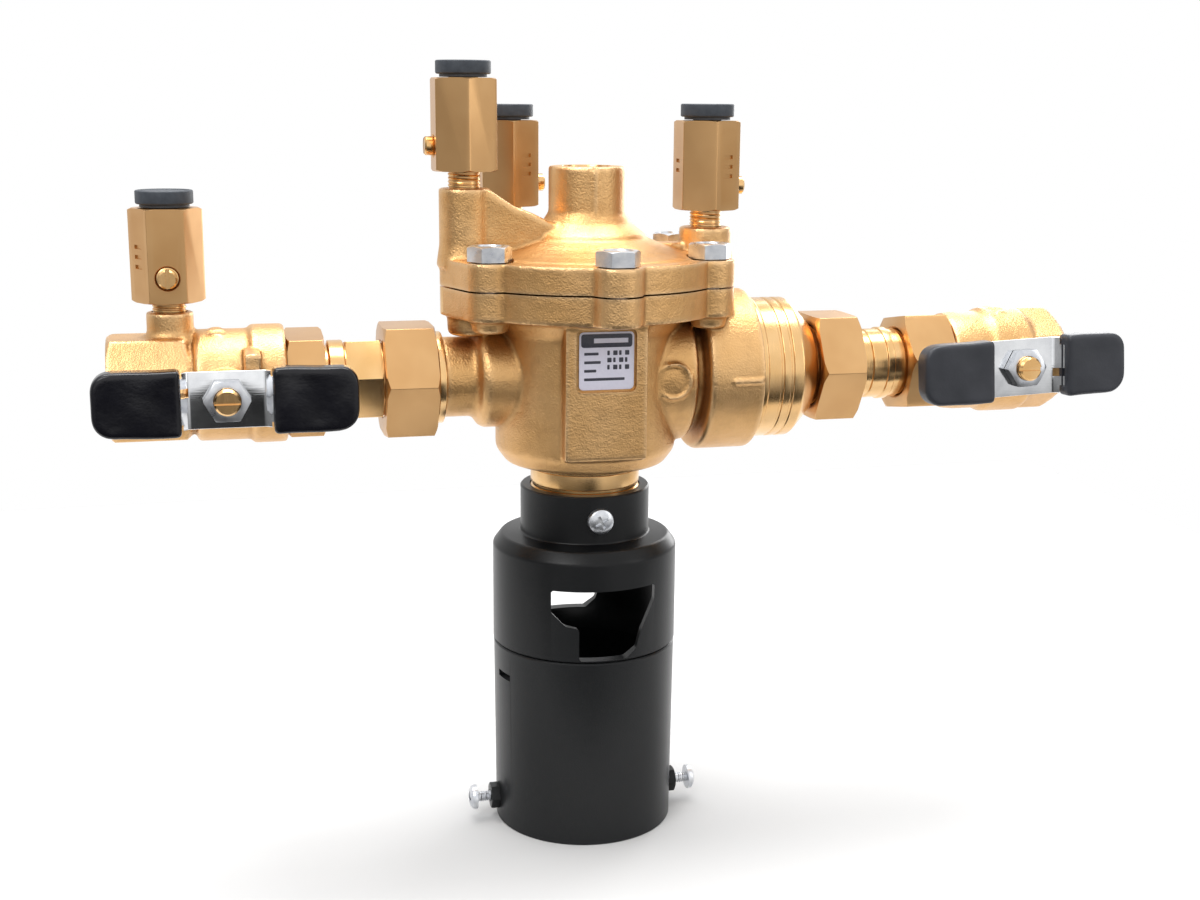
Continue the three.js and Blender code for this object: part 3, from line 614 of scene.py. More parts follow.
# --------------------------------------------------------------------------- cover
# The bolted cover is a second forging: a stepped dome with a boss on top, and three bosses that
# take the test cocks. A web runs from the tall left boss down to the dome.
def cover_casting():
    dome = lathe([(0, 42), (46, 42), (42, 45.6, 2), (36, 46.8, 3), (30, 48.6, 3), (22.6, 51.6, 0.5),
                  (22, 53, 0.8), (16.8, 57, 2), (14.2, 61, 1.2), (14.2, 77.9, 0.8), (0, 77.9)], 96)
    bosses = [shift(lathe([(0, 42), (r + 1.2, 42), (r, 50, 4), (r, top + 0.3, 0.6), (0, top + 0.3)], 48),
                    x, y) for x, y, r, top in COVER_COCKS.values()]
    sweep = rounded([(-47, 44), (-47, 69.5), (-38, 69.5, 2), (-34.3, 67, 3), (-29.8, 64, 4), (-22.5, 61.2, 6),
                     (-15, 57.5, 3), (0, 57), (0, 44)], 5)
    web = shift(moved(plate(sweep, -6.5, 6.5, 1.5), ALONG_FRONT), y=COVER_COCKS[2][1])
    ledge = block((12, 46), (-7.5, 0.5), (43, 49.6), 1.2)
    back = spin(block((12, 44), (-4, 4), (43, 49.2), 1.2), 120)
    flash = block((-0.5, 0.5), (-14.9, -10), (60, 76.5), 0.3)
    skin = melt([dome, web, ledge, back, flash, *bosses, *flange(33.5, 45.0)])
    cut(skin, rod(80, 20, SEAM + 0.2, 12))
    hollow = lathe([(0, 30), (37, 30), (37, 41, 2), (24, 46), (14, 50), (3.8, 52), (3.8, 66), (0, 66)])
    mouth = lathe([(0, 70), (9, 70), (9, 77), (10, 80), (0, 80)], 48)
    faces = [shift(rod(8.7, BOLT_SEAT, 50.5), *around(a)) for a in BOLT_ANGLES]
    sockets = [shift(rod(COCK_SOCKET_R, top - 9, top + 4, 32), x, y) for x, y, _, top in COVER_COCKS.values()]
    cut(skin, hollow, mouth, *faces, *sockets, *bolt_holes(30, 50))
    return skin


def machined_cover(place):
    mouth = math.hypot(place.x, place.y) < 9.3
    return int(mouth or place.z < SEAM + 0.25 or abs(place.z - BOLT_SEAT) < 0.03)


complete(cover_casting(), "cover_forging", "body", "cast_brass", ["cover"], [FORGED, TURNED],
         choose=machined_cover)


# --------------------------------------------------------------------------- cover bolts
# Six zinc-plated hexagon-head bolts go down through the cover into the body's flange, on one ring.
def zinc(start, where):
    cloud = start.noise(where, 260.0, 3.0)
    scratch = start.noise(where.stretched((1, 0.1, 1)), 2600.0)
    tone = start.blend(cloud.clamp(0.3, 0.7), (0.50, 0.52, 0.56), (0.72, 0.73, 0.75))
    rough = 0.22 + 0.16 * cloud
    bump = scratch.bump(0.08, 0.0002)
    return {"Base Color": tone, "Metallic": 1.0, "Roughness": rough, "Normal": bump}


ZINC = finish_shader("zinc_plate", zinc)


def hex_bar(flats, low, high, turn=0.0, chamfer=1.0, soft=0.25, ends="both"):
    """A hexagon bar whose ends are turned to the cone that a lathe leaves."""
    corner = flats / math.sqrt(3)
    rim = corner - chamfer
    low_rim = rim if ends in ("both", "low") else corner + 0.2
    high_rim = rim if ends in ("both", "high") else corner + 0.2
    slope = chamfer * 0.62
    angles = [math.radians(turn + 60 * k) for k in range(6)]
    outline = rounded([(corner * math.cos(a), corner * math.sin(a), soft) for a in angles], 3)
    cone = lathe([(0, low - 0.001), (low_rim, low - 0.001), (corner + 0.3, low + slope),
                  (corner + 0.3, high - slope), (high_rim, high + 0.001), (0, high + 0.001)], 96)
    return keep(plate(outline, low, high), cone)


def open_group(name, sockets):
    """A geometry node tree with these inputs, the names that a modifier calls them by, and their values."""
    tree = bpy.data.node_groups.new(name, "GeometryNodeTree")
    face = tree.interface
    for in_out in ("INPUT", "OUTPUT"):
        face.new_socket("Geometry", in_out=in_out, socket_type="NodeSocketGeometry")
    named = {label: face.new_socket(label, in_out="INPUT", socket_type=f"NodeSocket{kind}").identifier
             for label, kind in {**sockets, "Finish": "Material"}.items()}
    group_in = tree.nodes.new("NodeGroupInput")
    return tree, named, {label: Channel(tree, group_in.outputs[label]) for label in named}


def close_group(shape, finish):
    """Ends a tree: its instances become a mesh, which takes the finish that is asked for."""
    real = shape.node("GeometryNodeRealizeInstances", None, {0: shape})
    coat = shape.node("GeometryNodeSetMaterial", None, {"Geometry": real, "Material": finish})
    shape.tree.links.new(coat.socket, shape.tree.nodes.new("NodeGroupOutput").inputs[0])


def ring_tree():
    """Geometry nodes that stand copies of a fastener on a ring, each turned to face outward."""
    tree, named, given = open_group("fasteners_on_ring",
                                    {"Fastener": "Object", "Count": "Int", "Ring Radius": "Float"})
    start = Channel(tree)
    ring = start.node("GeometryNodeMeshCircle", None,
                      {"Vertices": given["Count"], "Radius": given["Ring Radius"]})
    position = start.node("GeometryNodeInputPosition")
    facing = start.node("FunctionNodeAlignRotationToVector", {"axis": "X"}, {"Vector": position})
    source = start.node("GeometryNodeObjectInfo", None, {"Object": given["Fastener"]}, "Geometry")
    copies = start.node("GeometryNodeInstanceOnPoints", None,
                        {"Points": ring, "Instance": source, "Rotation": facing})
    close_group(copies, given["Finish"])
    return tree, named


def grow(tree, named, values):
    """A piece grown by a geometry node tree with these inputs, as a plain mesh."""
    piece = new_piece(bmesh.new())
    step = piece.modifiers.new("grow", "NODES")
    step.node_group = tree
    for label, value in values.items():
        step[named[label]] = value
    return settle(piece)


def cover_bolt():
    head = hex_bar(14.2, 45.3, 50.8, 30, 1.2, 0.25, "high")
    dish = lathe([(0, 50.3), (5.2, 50.3), (5.6, 51.2), (0, 51.2)], 48)
    cut(head, dish)
    return join(head, rod(3.6, 26.3, 46, 32))


bolt = cover_bolt()
bolts = grow(*ring_tree(), {"Fastener": bolt, "Count": 6, "Ring Radius": BOLT_RING, "Finish": ZINC})
bpy.data.objects.remove(bolt)
# The ring starts at +X, and the bolts start at -90 degrees, half a step round.
spin(bolts, 30)
complete(bolts, "cover_bolts", "body", "zinc", [f"cover_bolt_{k}" for k in range(1, 7)], [ZINC])


# --------------------------------------------------------------------------- outlet housing
# The outlet check valve's housing is a bright turned piece pressed into the body's socket. It
# tapers to a threaded spigot, and shows the rings that the lathe left.
housing = lathe_x([(44.5, 0), (44.5, 22.1), (62.3, 22.1), (62.3, 28.2, 0.4), (64.4, 28.2, 0.5),
                   (65.0, 27.2, 0.3), (69.8, 27.2, 0.3), (70.1, 26.8), (70.9, 26.8), (71.2, 27.2, 0.3),
                   (73.8, 27.2, 0.3), (74.1, 26.8), (74.9, 26.8), (75.2, 27.2, 0.3), (79, 27.2, 1.4),
                   (87.2, 18.9, 1.6), (88.2, 17.4), (88.2, 15.2), (89.0, 15.2), (89.0, 15.8), (96.4, 15.8),
                   (97, 15.2), (97, 0)], 128)
cut(housing, lathe_x([(40, 0), (40, 18.3), (70, 18.3), (79, 11), (99, 11), (99, 0)]))
complete(housing, "outlet_check_housing", "body", "turned_brass", ["outlet_housing"], [TURNED])


# --------------------------------------------------------------------------- union nuts
# Each union nut is a brass hexagon, chamfered by lathe at both ends, that pulls the tailpiece's
# shoulder and a rubber gasket against a spigot. It turns freely on the tailpiece.
def hex_bar_x(*sizes, **ends):
    return moved(hex_bar(*sizes, **ends), ALONG_X)


def cut_brass(start, where):
    broad = start.noise(where, 60.0, 2.0)
    fine = start.noise(where, 2500.0, 2.0, 0.5)
    edge = start.standing_out()
    # Convex edges are lightened a little: partly rubbed brass, partly a painted highlight.
    wear_and_highlight = edge.clamp(0.03, 0.25)
    tone = start.blend(broad.clamp(0.35, 0.65), (0.54, 0.295, 0.115), (0.60, 0.345, 0.145))
    tone = start.blend(wear_and_highlight * 0.12, tone, (0.86, 0.62, 0.36))
    rough = 0.30 + 0.06 * fine - 0.02 * wear_and_highlight
    grain = fine.bump(0.05, 0.0002)
    return {"Base Color": tone, "Metallic": 1.0, "Roughness": rough, "Normal": grain}


CUT = finish_shader("cut_brass", cut_brass)
SPIGOT_R = 15.8


def union_nut(name, face, away, start):
    at = lambda d: face + away * d
    low, high = sorted((at(start), at(10)))
    nut = hex_bar_x(40, low, high, 30, chamfer=1.9, soft=0.35)
    cut(nut, lathe_x([(at(start - 1), 0), (at(start - 1), 17.4), (at(start), 17.4),
                      (at(start + 1.3), SPIGOT_R + 0.3), (at(6.3), SPIGOT_R + 0.3), (at(6.3), 14),
                      (at(9.3), 14), (at(10.5), 15.2), (at(10.5), 0)]))
    complete(nut, f"{name}_union_ring", f"{name}_nut", "cast_brass", [f"{name}_union_nut"], [CUT])
    seal = lathe_x([(at(0.3), 11), (at(0.3), 15.5, 0.3), (at(1.7), 15.5, 0.3), (at(1.7), 11)])
    complete(seal, f"{name}_union_seal", "body", "seal_rubber", [f"{name}_union_gasket"], [RUBBER])


RUBBER = finish_shader("seal_rubber", mottled(420.0, 3.0, ((0.018, 0.018, 0.019), (0.050, 0.050, 0.052)),
                                              (0.62, 0), (0.35, 0.7), (0.1, 0.0003)))
union_nut("inlet", -68, -1, -9)
union_nut("outlet", 97, 1, -7.5)


# --------------------------------------------------------------------------- tailpieces
# Turned brass pipes join the unions to the ball valves. The inlet one carries a hexagon for a
# spanner, and the outlet one is plain with a shallow undercut.
inlet_tail = join(
    lathe_x([(-111, 0), (-111, 13.1), (-98, 13.1), (-97.5, 15, 0.4), (-92.2, 15, 0.5), (-91.8, 13.6),
             (-78, 13.6), (-77.6, 14.2, 0.3), (-76, 14.2, 0.3), (-75.6, 13.7), (-74, 13.7), (-74, 15.5, 0.3),
             (-70, 15.5, 0.3), (-70, 0)], 96),
    hex_bar_x(28, -91.5, -78.5, 20, chamfer=1.1, soft=0.25))
outlet_tail = lathe_x([(99, 0), (99, 15.5, 0.3), (103, 15.5, 0.3), (103, 13.7), (109, 13.7, 0.3),
                       (109.5, 13.2), (113, 13.2), (113.5, 13.7, 0.3), (119, 13.7, 0.3), (119.3, 14.3, 0.3),
                       (122, 14.3, 0.3), (122.3, 13.7), (126, 13.7), (126, 13.1), (138, 13.1), (138, 0)], 96)
for name, tail in (("inlet", inlet_tail), ("outlet", outlet_tail)):
    cut(tail, rod_x(10, -115, 145))
    complete(tail, f"{name}_union_tail", "body", "turned_brass", [f"{name}_tailpiece"], [TURNED])


# --------------------------------------------------------------------------- ball valve bodies
# Each shut-off valve is a forged barrel with a spanner hexagon at its outer end, and a hexagon cap
# screwed in at the union's end. The inlet one carries a boss for the first test cock.
VALVES = {
    "inlet": {
        "stem": -134.5, "outward": -1, "joint": 21.5, "cap": 35.2, "hex": 12.5, "end": 40.5, "corner": 30,
        "cap_corner": 36, "thread": 14, "stop": (3.9, 15.1), "tilt": 0, "turn": 0, "plate": 10.0,
        "grip": 11.6, "ends": (44.7, 44.7),
        "barrel": [(-21.5, 21.6, 1.0), (-9.6, 21.6, 0.9), (-8.6, 20.2, 0.8), (10.2, 20.2, 1.6),
                   (10.5, 17.6)]},
    "outlet": {
        "stem": 167.3, "outward": 1, "joint": 20.5, "cap": 40.1, "hex": 12.7, "end": 27.2, "corner": 0,
        "cap_corner": 23, "thread": 11, "stop": (2.0, 9.5), "tilt": -3, "turn": -2.5, "plate": 11.0,
        "grip": 12.0, "ends": (44.3, 40.0),
        "barrel": [(-20.5, 19.0, 1.0), (-14.5, 19.6, 2.0), (-5.5, 19.6, 1.5), (-3.0, 21.0, 1.2),
                   (12.0, 21.0, 1.2), (13.8, 18.6, 0.5)]}}
FIRST_COCK = (-152.7, 0.0, 8.2, 26.7)


def valve_body(name, stem, outward, joint, hex, end, corner, thread, stop, tilt, barrel, **_):
    at = lambda u: stem + outward * u
    span = lambda u, v: tuple(sorted((at(u), at(v))))
    outline = [(at(c[0]), *c[1:]) for c in barrel]
    solids = [lathe_x([(at(-joint), 0), *outline, (at(hex + 2), outline[-1][1]), (at(hex + 2), 0)]),
              hex_bar_x(36.2, *span(hex, end), corner, chamfer=2.6, soft=1.0),
              shift(moved(rod(8.6, 12, 26.6), ALONG_FRONT), stem),
              block((stem + 6.4, stem + 12.1), (-28.6, -10), stop, 0.6)]
    if name == "inlet":
        x, y, radius, top = FIRST_COCK
        boss = lathe([(0, 0), (radius + 1.5, 0), (radius + 1.5, 17), (radius, 20, 2),
                      (radius, top + 0.3, 0.6), (0, top + 0.3)], 48)
        solids.append(shift(boss, x, y))
    crown = 20.9 if name == "inlet" else 21.7
    for k, turn in enumerate((-22, -8, 8, 21)):
        long = 1.8 if k % 2 else 2.6
        stroke = block((at(2.5) - long, at(2.5) + long), (-1.0, 1.0), (18, crown), 0.4)
        solids.append(spin(stroke, turn, "X"))
    skin = melt(solids)
    cuts = [rod_x(14, *span(-14.2, 14)), rod_x(15.9, *span(-joint - 1, -14.2)), rod_x(9.5, *span(13, end + 1)),
            lathe_x([(at(end - thread), 0), (at(end - thread), 13.4), (at(end - 1.2), 13.4),
                     (at(end + 0.5), 15.2), (at(end + 0.5), 0)]),
            shift(moved(rod(4.9, -2, 30, 24), ALONG_FRONT), stem)]
    if name == "inlet":
        cuts.append(shift(rod(COCK_SOCKET_R, top - 9, top + 4), x, y))
    cut(skin, *cuts)
    complete(spin(skin, tilt, "X"), f"{name}_valve_forging", "body", "cast_brass", [f"{name}_valve_body"],
             [FORGED, TURNED], choose=lambda p: int(abs(p.x - at(end)) < 1.3 and math.hypot(p.y, p.z) < 15.3))


def end_cap(name, stem, outward, joint, cap, cap_corner, tilt, **_):
    at = lambda u: stem + outward * u
    low, high = sorted((at(-cap), at(-joint - 0.3)))
    shell = join(hex_bar_x(36, low, high, cap_corner, chamfer=1.8, soft=0.4),
                 rod_x(15.6, *sorted((at(-joint - 1), at(-14.8)))))
    cut(shell, rod_x(9.5, *sorted((at(-cap - 1), at(-14)))),
        lathe_x([(at(-cap - 1), 0), (at(-cap - 1), 14.4), (at(-cap), 14.4), (at(-cap + 1), 13.4),
                 (at(-cap + 13.2), 13.4), (at(-cap + 13.2), 0)]))
    complete(spin(shell, tilt, "X"), f"{name}_valve_cap", "body", "cast_brass", [f"{name}_valve_end_cap"],
             [CUT])


for name, sizes in VALVES.items():
    valve_body(name, **sizes)
    end_cap(name, **sizes)


# --------------------------------------------------------------------------- valve handles
# A T-handle of plated strip steel, stepped forward at both arms, is held on the stem's flats by a
# hexagon nut. Its arms are dipped in vinyl: glossy black at the inlet, matt grey at the outlet.
def plated_strip(start, where):
    cloud = start.noise(where, 120.0, 3.0)
    drawn = start.noise(where.stretched((0.05, 1, 1)), 2400.0)
    tone = start.blend(cloud.clamp(0.3, 0.7), (0.60, 0.61, 0.63), (0.76, 0.77, 0.78))
    rough = 0.07 + 0.05 * cloud + 0.04 * drawn
    bump = drawn.bump(0.05, 0.0002)
    return {"Base Color": tone, "Metallic": 1.0, "Roughness": rough, "Normal": bump}


def vinyl(dark, pale, gloss):
    def dipped(start, where):
        wave = start.noise(where, 90.0, 2.0)
        skin = start.noise(where, 1100.0, 2.0)
        tone = start.blend(wave.clamp(0.3, 0.7), dark, pale)
        rough = gloss + 0.10 * skin
        bump = skin.bump(0.10, 0.0003)
        ripple = wave.bump(0.25, 0.0012, bump)
        return {"Base Color": tone, "Roughness": rough, "Specular IOR Level": 0.35, "Normal": ripple}
    return dipped


STRIP = finish_shader("plated_strip", plated_strip)
VINYL = {"inlet": finish_shader("black_vinyl", vinyl((0.003, 0.003, 0.005), (0.006, 0.006, 0.009), 0.16)),
         "outlet": finish_shader("grey_vinyl", vinyl((0.024, 0.026, 0.032), (0.034, 0.036, 0.044), 0.36))}
STRIP_THICK = 1.8
ARM_Y, HUB_Y = -35.5, -31.0


def handle_strip(half, outward, ends):
    left, right = (end - 3.7 for end in ends)
    bends = [(-left, ARM_Y), (-18, ARM_Y, 2.0), (-13, HUB_Y, 2.0), (13, HUB_Y, 2.0), (18, ARM_Y, 2.0),
             (right, ARM_Y)]
    lift = STRIP_THICK / 2
    back = [(c[0], c[1] + lift, *c[2:]) for c in bends]
    front = [(c[0], c[1] - lift, *c[2:]) for c in reversed(bends)]
    strip = plate(rounded(back + front), -half, half, 0.3)
    cuts = [moved(rod(4.9, 20, 40, 32), ALONG_FRONT),
            block((outward * 15 - 2.2, outward * 15 + 2.2), (-40, -20),
                  (-2.8 * outward - 1.6, -2.8 * outward + 1.6))]
    for side in (-1, 1):
        for end in (-1, 1):
            x = sorted((end * 14.9, end * 45))
            z = sorted((side * 8, side * 20))
            cuts.append(block(x, (-40, -20), z))
    return cut(strip, *cuts)


def dipped_grip(side, half, end):
    outline = rounded([(15.4, -half, 1.4), (end, -half + 0.5, 7.0), (end, half - 0.3, 6.0),
                       (15.4, half, 1.4)], 6)
    skin = melt([plate(outline, 31.2, 39.8, 2.4, 5)], 0.62, 10)
    for point in skin.data.vertices:
        p = point.co
        p.z += 0.16 * math.sin(0.31 * p.x + 1.1 * side) * math.cos(0.22 * p.y + 0.6)
        p.y += 0.12 * math.sin(0.27 * p.x + 2.0 * side)
    moved(skin, Matrix.Scale(-1, 4, (1, 0, 0)) @ ALONG_FRONT if side < 0 else ALONG_FRONT)
    pocket = block(sorted((side * 10, side * (end - 3.4))), (ARM_Y - 1.0, ARM_Y + 1.0), (-8.1, 8.1))
    return cut(skin, pocket)


def ball_and_stem():
    turn = [math.radians(-90 + 7.5 * k) for k in range(25)]
    ball = lathe([(13.2 * max(math.cos(a), 0), 13.2 * math.sin(a)) for a in turn], 64)
    cut(ball, rod_x(9.5, -20, 20))
    stem = moved(lathe([(0, 11), (4.6, 11), (4.6, 36.0), (4.3, 36.4), (4.6, 36.8), (4.3, 37.2), (4.6, 37.6),
                        (4.6, 38.2), (3.9, 39), (0, 39)], 48), ALONG_FRONT)
    join(ball, stem)
    return cut(ball, block((-5, 5), (-40, -37.5), (-0.7, 0.7)))


for name, sizes in VALVES.items():
    handle = f"{name}_handle"
    tilt, turn = (Matrix.Rotation(math.radians(sizes[key]), 4, axis)
                  for key, axis in (("tilt", "X"), ("turn", "Y")))
    still = tilt @ Matrix.Translation((sizes["stem"], 0, 0))
    place = still @ turn
    strip = moved(handle_strip(sizes["plate"], sizes["outward"], sizes["ends"]), place)
    complete(strip, f"{name}_lever", handle, "zinc", [f"{name}_handle_plate"], [STRIP])
    nut = hex_bar(14, 32.2, 36.2, 0, chamfer=1.1, soft=0.2, ends="high")
    cut(nut, rod(4.8, 30, 40, 32))
    moved(nut, place @ ALONG_FRONT)
    complete(nut, f"{name}_lever_nut", handle, "zinc", [f"{name}_handle_nut"], [ZINC])
    complete(moved(ball_and_stem(), still), f"{name}_ball_stem", handle, "turned_brass",
             [f"{name}_ball_and_stem"], [TURNED, STRIP], choose=lambda p: int(p.y > -13.3))
    for side, word, end in zip((-1, 1), ("left", "right"), sizes["ends"]):
        grip = moved(dipped_grip(side, sizes["grip"], end), place)
        complete(grip, f"{name}_grip_{word}", handle, "black_vinyl" if name == "inlet" else "grey_vinyl",
                 [f"{name}_handle_grip_{word}"], [VINYL[name]])


# --------------------------------------------------------------------------- test cocks
# Four small hexagon test cocks stand on threaded stems. Each has a slotted shut-off screw in one
# flat and a soft blue-grey cap over its port.
CAP = finish_shader("cap_rubber", mottled(500.0, 3.0, ((0.026, 0.032, 0.042), (0.040, 0.048, 0.060)),
                                          (0.55, 0), (0.3, 0.7), (0.12, 0.0003)))
COCKS = [(FIRST_COCK[0], FIRST_COCK[1], 30.7, FIRST_COCK[3], -90), (-47, -5, 76.3, 70, 180),
         (-22.5, 38.9, 61, 54.5, 0), (45.7, -3.2, 61.7, 55, 0)]
COCK_HEIGHT = 33.0


def coil_tree():
    """Geometry nodes that wind a wire, or a thread's crest, up a cylinder."""
    tree, named, given = open_group("wound_wire", {
        "Coil Radius": "Float", "Wire Radius": "Float", "Height": "Float", "Turns": "Float",
        "Wire Sides": "Int", "Place": "Vector"})
    start, radius = Channel(tree), given["Coil Radius"]
    spiral = start.node("GeometryNodeCurveSpiral", None, {
        "Resolution": 28, "Start Radius": radius, "End Radius": radius, "Height": given["Height"],
        "Rotations": given["Turns"]})
    wire = start.node("GeometryNodeCurvePrimitiveCircle", None,
                      {"Resolution": given["Wire Sides"], "Radius": given["Wire Radius"]})
    tube = start.node("GeometryNodeCurveToMesh", None,
                      {"Fill Caps": True, "Curve": spiral, "Profile Curve": wire})
    raised = start.node("GeometryNodeTransform", None, {"Geometry": tube, "Translation": given["Place"]})
    close_group(raised, given["Finish"])
    return tree, named


COIL = coil_tree()


def wound(radius, wire, low, high, turns, finish, sides=8):
    return grow(*COIL, {"Coil Radius": radius, "Wire Radius": wire, "Height": high - low, "Turns": turns,
                        "Wire Sides": sides, "Place": (0.0, 0.0, low), "Finish": finish})


for k, (x, y, foot, boss_top, faces) in enumerate(COCKS, 1):
    place = Matrix.Translation((x, y, 0))
    facing = place @ Matrix.Rotation(math.radians(faces), 4, "Z")
    top, screw_z = foot + COCK_HEIGHT, foot + 9
    block_hex = hex_bar(22.2, foot, top, 30, chamfer=1.3, soft=0.3)
    join(block_hex, rod(5.6, boss_top - 8.7, foot + 1, 48))
    cuts = [lathe([(0, top - 7), (5.6, top - 7), (5.6, top - 0.5), (6.2, top + 0.1), (6.2, top + 1),
                   (0, top + 1)]),
            shift(lathe_x([(0, 0), (0, 4.05), (10.7, 4.05), (11.3, 4.6), (12, 4.6), (12, 0)], 48), z=screw_z)]
    for turn, heights in ((-60, (12, 15.5, 19)), (180, (14, 17.5))):
        for height in heights:
            mark = block((10.5, 12), (-2.3, 2.3), (foot + height, foot + height + 1.4))
            cuts.append(spin(mark, turn))
    cut(block_hex, *cuts)
    moved(block_hex, facing)
    complete(block_hex, f"test_cock_{k}_hexagon", "body", "cast_brass", [f"test_cock_{k}_body"], [CUT])
    thread = wound(5.55, 0.42, boss_top - 2.0, foot + 0.2, (foot - boss_top + 2.2) / 1.3, TURNED, 6)
    complete(moved(thread, place), f"test_cock_{k}_thread", "body", "turned_brass", [], [TURNED], crease=50)

    screw = lathe_x([(0.3, 0), (0.3, 3.8), (10.4, 3.8), (10.6, 3.3), (11.2, 3.3), (11.4, 3.4), (13.9, 3.4),
                     (14.5, 2.8), (14.5, 0)], 48)
    cut(screw, block((12.8, 15), (-0.75, 0.75), (-4, 4)))
    moved(shift(screw, z=screw_z), facing)
    complete(screw, f"test_cock_{k}_shutoff", f"cock_{k}_screw", "turned_brass", [f"test_cock_{k}_screw"],
             [TURNED])

    cap = lathe([(0, top - 5), (5.3, top - 5, 0.6), (5.3, top + 0.3), (8.6, top + 0.3), (8.6, top + 1.3),
                 (10, top + 1.3, 1.5), (10, top + 6.1, 0.7), (8.9, top + 6.1), (8.5, top + 5.7),
                 (0, top + 5.7)], 72)
    complete(moved(cap, place), f"test_cock_{k}_dust_cap", f"cock_{k}_cap", "cap_rubber",
             [f"test_cock_{k}_cap"], [CAP])


# --------------------------------------------------------------------------- air-gap funnel
# Two black moulded cups, one inside the other, catch what the relief valve drops. The upper one
# clamps round the body's neck and has an air window at the front and the back.
def moulded(start, where):
    cloud = start.noise(where, 70.0, 2.0)
    texture = start.noise(where, 1600.0, 2.0)
    edge = start.standing_out()
    tone = start.blend(cloud.clamp(0.3, 0.7), (0.0022, 0.0024, 0.0028), (0.0040, 0.0042, 0.0046))
    # Convex rims are lightened towards dark grey: a painted highlight.
    tone = start.blend(edge.clamp(0.05, 0.3) * 0.5, tone, (0.020, 0.021, 0.022))
    rough = 0.25 + 0.08 * texture + 0.04 * cloud
    bump = texture.bump(0.12, 0.0003)
    return {"Base Color": tone, "Roughness": rough, "Specular IOR Level": 0.21, "Normal": bump}


MOULDED = finish_shader("moulded_black", moulded)
COLLAR_SCREW_Z, CLAMP_SCREW_Z = -52.4, -170
WINDOW = [(-19.8, -77, 1.0), (20.5, -77, 1.0), (20.3, -83, 2.0), (14.3, -94, 2.0), (12.3, -100.5, 2.0),
          (8, -104, 1.5), (-10, -104, 1.0), (-10, -91.5, 1.2), (-15, -90.5, 2.5), (-19.8, -85.5, 2.0)]
upper = lathe([(21.3, -43.3), (24.4, -43.3), (24.95, -43.9), (24.95, -61.8, 0.8), (32.6, -62.4, 2),
               (35.7, -66.5, 2.5), (35.7, -104.2), (35.2, -104.7), (32.8, -104.7), (32.8, -113), (30.8, -113),
               (30.8, -105), (33.2, -100), (33.2, -67), (31.5, -65), (21.3, -64)], 128)
windows = [moved(plate(rounded(WINDOW), near, near + 30), ALONG_FRONT) for near in (15, -45)]
cut(upper, *windows, shift(moved(rod(2.8, 18, 30, 24), ALONG_FRONT), z=COLLAR_SCREW_Z))
complete(upper, "funnel_top_cup", "body", "funnel_plastic", ["funnel_upper"], [MOULDED])

lower = lathe([(33.1, -105.2), (35.0, -105.2), (35.5, -105.7), (34.8, -178.5), (34.4, -179), (30.5, -179),
               (30.5, -141), (28.5, -141), (31.5, -135), (33.1, -116)], 128)
for side in (-1, 1):
    lug = hex_bar(9, 33, 38, 30, chamfer=0.6, soft=0.3, ends="high")
    join(lower, shift(spin(lug, side * 90, "Y"), z=CLAMP_SCREW_Z))
cut(lower, block((-40, -29), (-14, -5), (-117.5, -115)),
    *[shift(spin(rod(2.4, 29, 40, 24), side * 90, "Y"), z=CLAMP_SCREW_Z) for side in (-1, 1)])
complete(lower, "funnel_bottom_cup", "body", "funnel_plastic", ["funnel_lower"], [MOULDED])


# --------------------------------------------------------------------------- funnel screws
# Plated pan-head screws: one grips the collar on the neck, and two with long threads clamp the
# drain pipe in the lower cup.
def pan_screw(shank, head, length, thread_from):
    body = lathe([(0, -length), (shank * 0.8, -length, 0.2), (shank * 0.86, -length + 0.6), (shank * 0.86, 0),
                  (head, 0), (head, 1.0), (head * 0.93, 1.9), (head * 0.72, 2.55), (head * 0.4, 2.85),
                  (0, 2.9)], 64)
    for turn in (0, 90):
        arm = block((-head * 0.52, head * 0.52), (-0.55, 0.55), (1.5, 3.2))
        cut(body, spin(arm, turn))
    thread = wound(shank * 0.86, shank * 0.14, thread_from, -0.2, (-0.2 - thread_from) / 0.9, ZINC, 6)
    return body, thread


def place_screw(name, body, node, sizes, matrix):
    screw, thread = pan_screw(*sizes)
    complete(moved(screw, matrix), name, body, "zinc", [node], [ZINC])
    complete(moved(thread, matrix), f"{name}_thread", body, "zinc", [], [ZINC], crease=50)


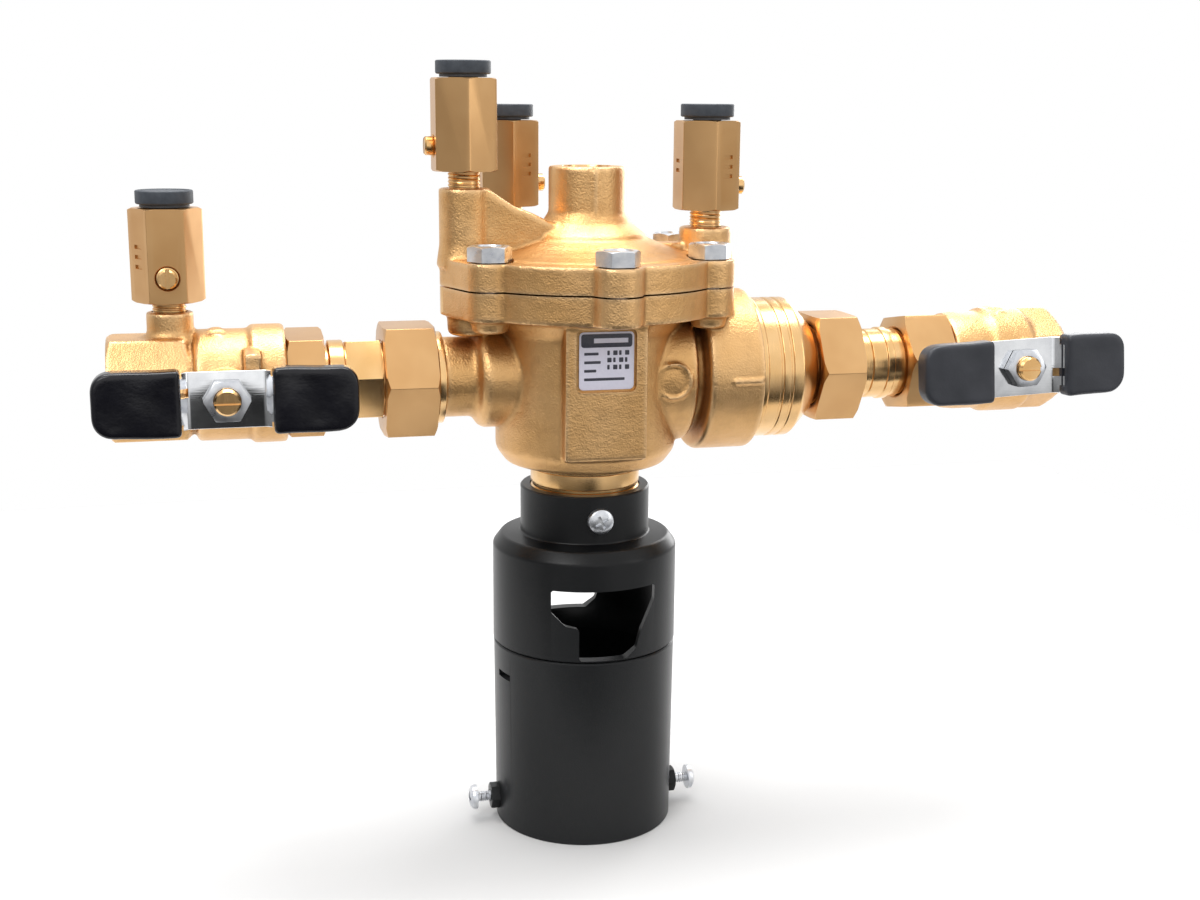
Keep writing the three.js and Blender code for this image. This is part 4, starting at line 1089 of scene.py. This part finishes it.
collar_place = Matrix.Translation((0, -25.25, COLLAR_SCREW_Z)) @ ALONG_FRONT
place_screw("collar_screw", "body", "funnel_collar_screw", (2.5, 5.0, 3.4, -3.0),
            collar_place @ Matrix.Rotation(math.radians(28), 4, "Z"))
for k, side in ((1, -1), (2, 1)):
    clamp_place = Matrix.Translation((side * 43.5, 0, CLAMP_SCREW_Z))
    place_screw(f"clamp_screw_{k}_pan", f"clamp_screw_{k}", f"drain_clamp_screw_{k}", (2.05, 4.8, 11.5, -10.9),
                clamp_place @ Matrix.Rotation(side * math.pi / 2, 4, "Y"))


# --------------------------------------------------------------------------- springs and diaphragm
# Inside, stainless coil springs close the two check valves and open the relief valve against a
# rubber diaphragm, which is held at its rim and follows the piston at its middle.
STAINLESS = finish_shader("stainless_wire", mottled(300.0, 2.0, ((0.50, 0.50, 0.51), (0.66, 0.66, 0.67)),
                                                    (0.22, 0.12), others={"Metallic": 1.0}))
relief_spring = wound(9.5, 1.1, 18.4, 33.8, 4.5, STAINLESS)
complete(relief_spring, "relief_coil", "body", "stainless", ["relief_spring"], [STAINLESS], crease=60)
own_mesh(relief_spring)
for name, radius, low, high, keep_part in (("inlet", 4.7, -26.2, -13, 0.50), ("outlet", 4.9, 45, 60, 0.44)):
    spring = moved(wound(radius, 0.8, low + 1.1, high - 1.1, 3.5, STAINLESS), ALONG_X)
    complete(spring, f"{name}_check_coil", "body", "stainless", [f"{name}_check_spring"], [STAINLESS],
             crease=60)
    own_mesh(spring)

membrane = lathe([(3.8, 37.1), (22, 37.1), (25, 37.3, 1.5), (28, 36.4, 2), (30.5, 34.4, 1.5), (31.4, 33.3),
                  (40, 33.3, 0.4), (40, 34.9, 0.4), (32, 34.9, 1), (30.6, 36.4, 2), (27.6, 39.8, 2),
                  (22, 38.7), (3.8, 38.7)], 72)
complete(membrane, "relief_diaphragm", None, "seal_rubber", ["diaphragm"], [RUBBER])
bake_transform(membrane)


# --------------------------------------------------------------------------- parts kept inside
# The seats, poppets and guides are moulded acetal, and the relief seat, disc and piston are turned
# brass: their shapes stay as drawn and take finished materials.
ACETAL = finish_shader("moulded_acetal",
                       mottled(150.0, 2.0, ((0.60, 0.58, 0.54), (0.72, 0.70, 0.66)), (0.35, 0.1)))
KEPT = {TURNED: ["relief_seat", "relief_disc", "relief_piston"],
        ACETAL: [f"{name}_check_{part}" for name in VALVES for part in ("seat", "poppet", "guide")]}
for finish, nodes in KEPT.items():
    for node in nodes:
        for place in bpy.data.objects[node].material_slots:
            place.material = finish
